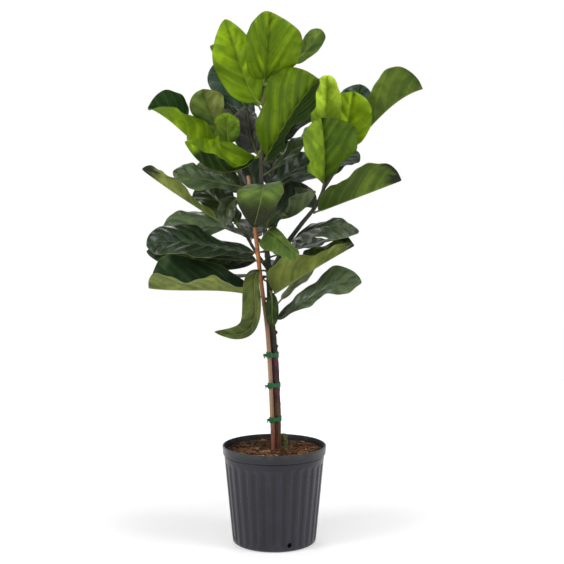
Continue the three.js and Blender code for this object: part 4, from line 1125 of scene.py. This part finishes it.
def make_pot():
    turns = turns_of(POT_SIDES)
    flute = 0.5 - 0.5 * np.tanh(FLUTE_EDGE * np.cos(RIBS * turns)) / math.tanh(FLUTE_EDGE)
    rings = []
    for r, z in POT_OUTSIDE:
        ribbed = smooth(5, 15, z) * (1 - smooth(WALL_TOP - 1, COLLAR_BOTTOM, z))
        rings.append(circle(turns, r - ribbed * RIB_DEPTH * flute, z))
    rings += [circle(turns, r, z) for r, z in POT_INSIDE]
    faces = grid_faces(len(rings), POT_SIDES)
    last = (len(rings) - 1) * POT_SIDES
    hub = last + POT_SIDES
    for j in range(POT_SIDES):
        after = (j + 1) % POT_SIDES
        faces += [(hub, after, j), (hub + 1, last + j, last + after)]
    hubs = np.array([(0, 0, POT_OUTSIDE[0][1]), (0, 0, FLOOR)])
    shell = new_piece("pot_rough", np.concatenate(rings + [hubs]), faces, [pot_look()])
    cutter = new_piece("drain_cutter", *merged(map(drain_body, range(DRAIN_HOLES))))
    modifier = shell.modifiers.new("drain", "BOOLEAN")
    modifier.operation = "DIFFERENCE"
    modifier.solver = "EXACT"
    modifier.object = cutter
    pot = applied(shell, "pot_shell")
    bpy.data.objects.remove(cutter)
    pot.data.shade_smooth()
    pot.data.set_sharp_from_angle(angle=math.radians(POT_SHARP))
    hooked(pot, "pot", "pot")


# Soil under bark mulch

SOIL_EDGE = NECK_INSIDE - 1
SOIL_SIDES = 144
SOIL_RINGS = 34
SOIL_SIDE_TOP = 222
SOIL_SEED = 41
CHIPS = 1150
CHIP_SIDES = 9
CHIP_LENGTHS = (6, 9, 12, 15, 19, 24, 30)
CHIP_COLOURS = [srgb(164, 116, 70), srgb(144, 98, 60), srgb(112, 74, 44), srgb(200, 156, 106),
                srgb(76, 48, 30), srgb(154, 104, 62)]
STANDING = ((7, 0, 12), (STUB["x"], STUB["y"], 10.5), (-1, -16, 6))  # what the chips keep off


def soil_height(x, y):
    broad = noise.noise(Vector((x * 0.035, y * 0.035, 2)))
    fine = noise.noise(Vector((x * 0.14, y * 0.14, 8)))
    return SOIL_TOP - 3.2 + 2.4 * broad + 1.3 * fine


def chip_shape(draw, long, wide, thick):
    """A flat splinter of bark with a ragged outline."""
    turns = [2 * math.pi * (j + draw.uniform(-0.25, 0.25)) / CHIP_SIDES for j in range(CHIP_SIDES)]
    reach = [draw.uniform(0.72, 1.08) for _ in range(CHIP_SIDES)]
    rings = []
    for level, inset in ((-0.5, 0.82), (0.1, 1.0), (0.5, 0.8)):
        rings.append(np.array([
            (long / 2 * share * inset * math.cos(turn), wide / 2 * share * inset * math.sin(turn),
             thick * (level + draw.uniform(-0.12, 0.12))) for turn, share in zip(turns, reach)]))
    return body(rings)


def turned(axis, angle):
    """A turn about one axis, as a matrix."""
    matrix = np.eye(3)
    a, b = (axis + 1) % 3, (axis + 2) % 3
    matrix[a, a] = matrix[b, b] = math.cos(angle)
    matrix[b, a] = math.sin(angle)
    matrix[a, b] = -math.sin(angle)
    return matrix


def make_soil():
    draw = random.Random(SOIL_SEED)
    turns = turns_of(SOIL_SIDES)
    rings = [circle(turns, FLOOR_INSIDE - 3, FLOOR + CLEARANCE),
             circle(turns, SOIL_EDGE, SOIL_SIDE_TOP)]
    for share in np.linspace(0.995, 0.05, SOIL_RINGS):
        ring = circle(turns, SOIL_EDGE * share, 0)
        ring[:, 2] = [soil_height(x, y) for x, y, _ in ring]
        rings.append(ring)
    bodies = [body(rings)]
    grains = [bodies[0][0] / 100]
    tints = [np.tile(CHIP_COLOURS[2], (len(grains[0]), 1))]
    for _ in range(CHIPS):
        long = draw.choice(CHIP_LENGTHS) * draw.uniform(0.8, 1.2)
        wide = min(long * draw.uniform(0.3, 0.75), 10)
        thick = draw.uniform(1.4, 3.6)
        r = (SOIL_EDGE - 1 - long * 0.5) * math.sqrt(draw.random())
        around = draw.uniform(0, 2 * math.pi)
        x, y = r * math.cos(around), r * math.sin(around)
        shape, faces = chip_shape(draw, long, wide, thick)
        yaw, pitch, roll = draw.uniform(0, 2 * math.pi), draw.gauss(0, 0.16), draw.gauss(0, 0.3)
        lift = draw.uniform(0.2, 2.2)
        colour = np.array(draw.choice(CHIP_COLOURS)) * draw.uniform(0.4, 1.25)
        if any(math.hypot(x - sx, y - sy) < keep_off for sx, sy, keep_off in STANDING):
            continue
        turn = turned(2, yaw) @ turned(1, pitch) @ turned(0, roll)
        bodies.append((shape @ turn.T + np.array((x, y, soil_height(x, y) + lift)), faces))
        grains.append(shape / 100 + draw.random() * 9)
        tints.append(np.tile(colour, (len(shape), 1)))
    piece = new_piece("mulch", *merged(bodies), [mulch_look()], sharp=28)
    keep(piece, "grain", *grains)
    keep(piece, "tint", *tints)
    hooked(piece, "soil", "soil")


# Stage, light and camera. Lengths are in metres from here on, but for the floor's.

CAMERA_AT = (0.019, -3.0, 0.910)
CAMERA_AIM = (0.019, 0, 0.641)
LENS = 79.34
FLOOR_REACH = 2600
FLOOR_SIDES = 96
FLOOR_DROP = -0.3
# Name, place, the height that it is aimed at, size and watts
SOFTBOXES = [("left", (-2.3, -1.5, 2.0), 0.75, 1.3, 62), ("right", (2.4, -1.2, 1.7), 0.7, 1.3, 44),
             ("top", (0.2, -0.3, 3.1), 0.8, 1.2, 30), ("front", (0.4, -3.2, 2.4), 0.7, 1.0, 5),
             ("back", (-0.5, 2.6, 2.5), 0.9, 1.6, 30)]


def aimed(name, data, at, aim):
    thing = linked(name, data)
    thing.location = at
    thing.rotation_euler = (Vector(aim) - Vector(at)).to_track_quat("-Z", "Y").to_euler()
    return thing


def make_stage():
    edge = circle(turns_of(FLOOR_SIDES), FLOOR_REACH, FLOOR_DROP)
    floor = new_piece("floor", edge, [tuple(range(FLOOR_SIDES))], [floor_look()])
    world = bpy.data.worlds.new("studio")
    bpy.context.scene.world = world
    world.use_nodes = True
    sky = Nodes(world.node_tree)
    background = world.node_tree.nodes["Background"].inputs
    height = sky.split(sky.place("Generated"))[2]
    sky.put(background["Strength"], sky.ramp(height, 0.14, 0.3, 1.0, 0.1, "LINEAR"))
    sky.put(background["Color"], WHITE)
    for name, at, aim, size, watts in SOFTBOXES:
        light = bpy.data.lights.new(name, "AREA")
        light.shape = "SQUARE"
        light.size = size
        light.energy = watts
        aimed(name, light, at, (0, 0, aim))
    camera = bpy.data.cameras.new("camera")
    camera.lens = LENS
    camera.sensor_width = 36
    bpy.context.scene.camera = aimed("camera", camera, CAMERA_AT, CAMERA_AIM)
    bpy.context.scene.view_settings.view_transform = "Standard"


make_pot()
make_soil()
make_trunk()
make_cane()
green = tie_look()
for number, height in enumerate(TIE_HEIGHTS):
    make_tie(number, height, green)
make_leaves()
make_stage()
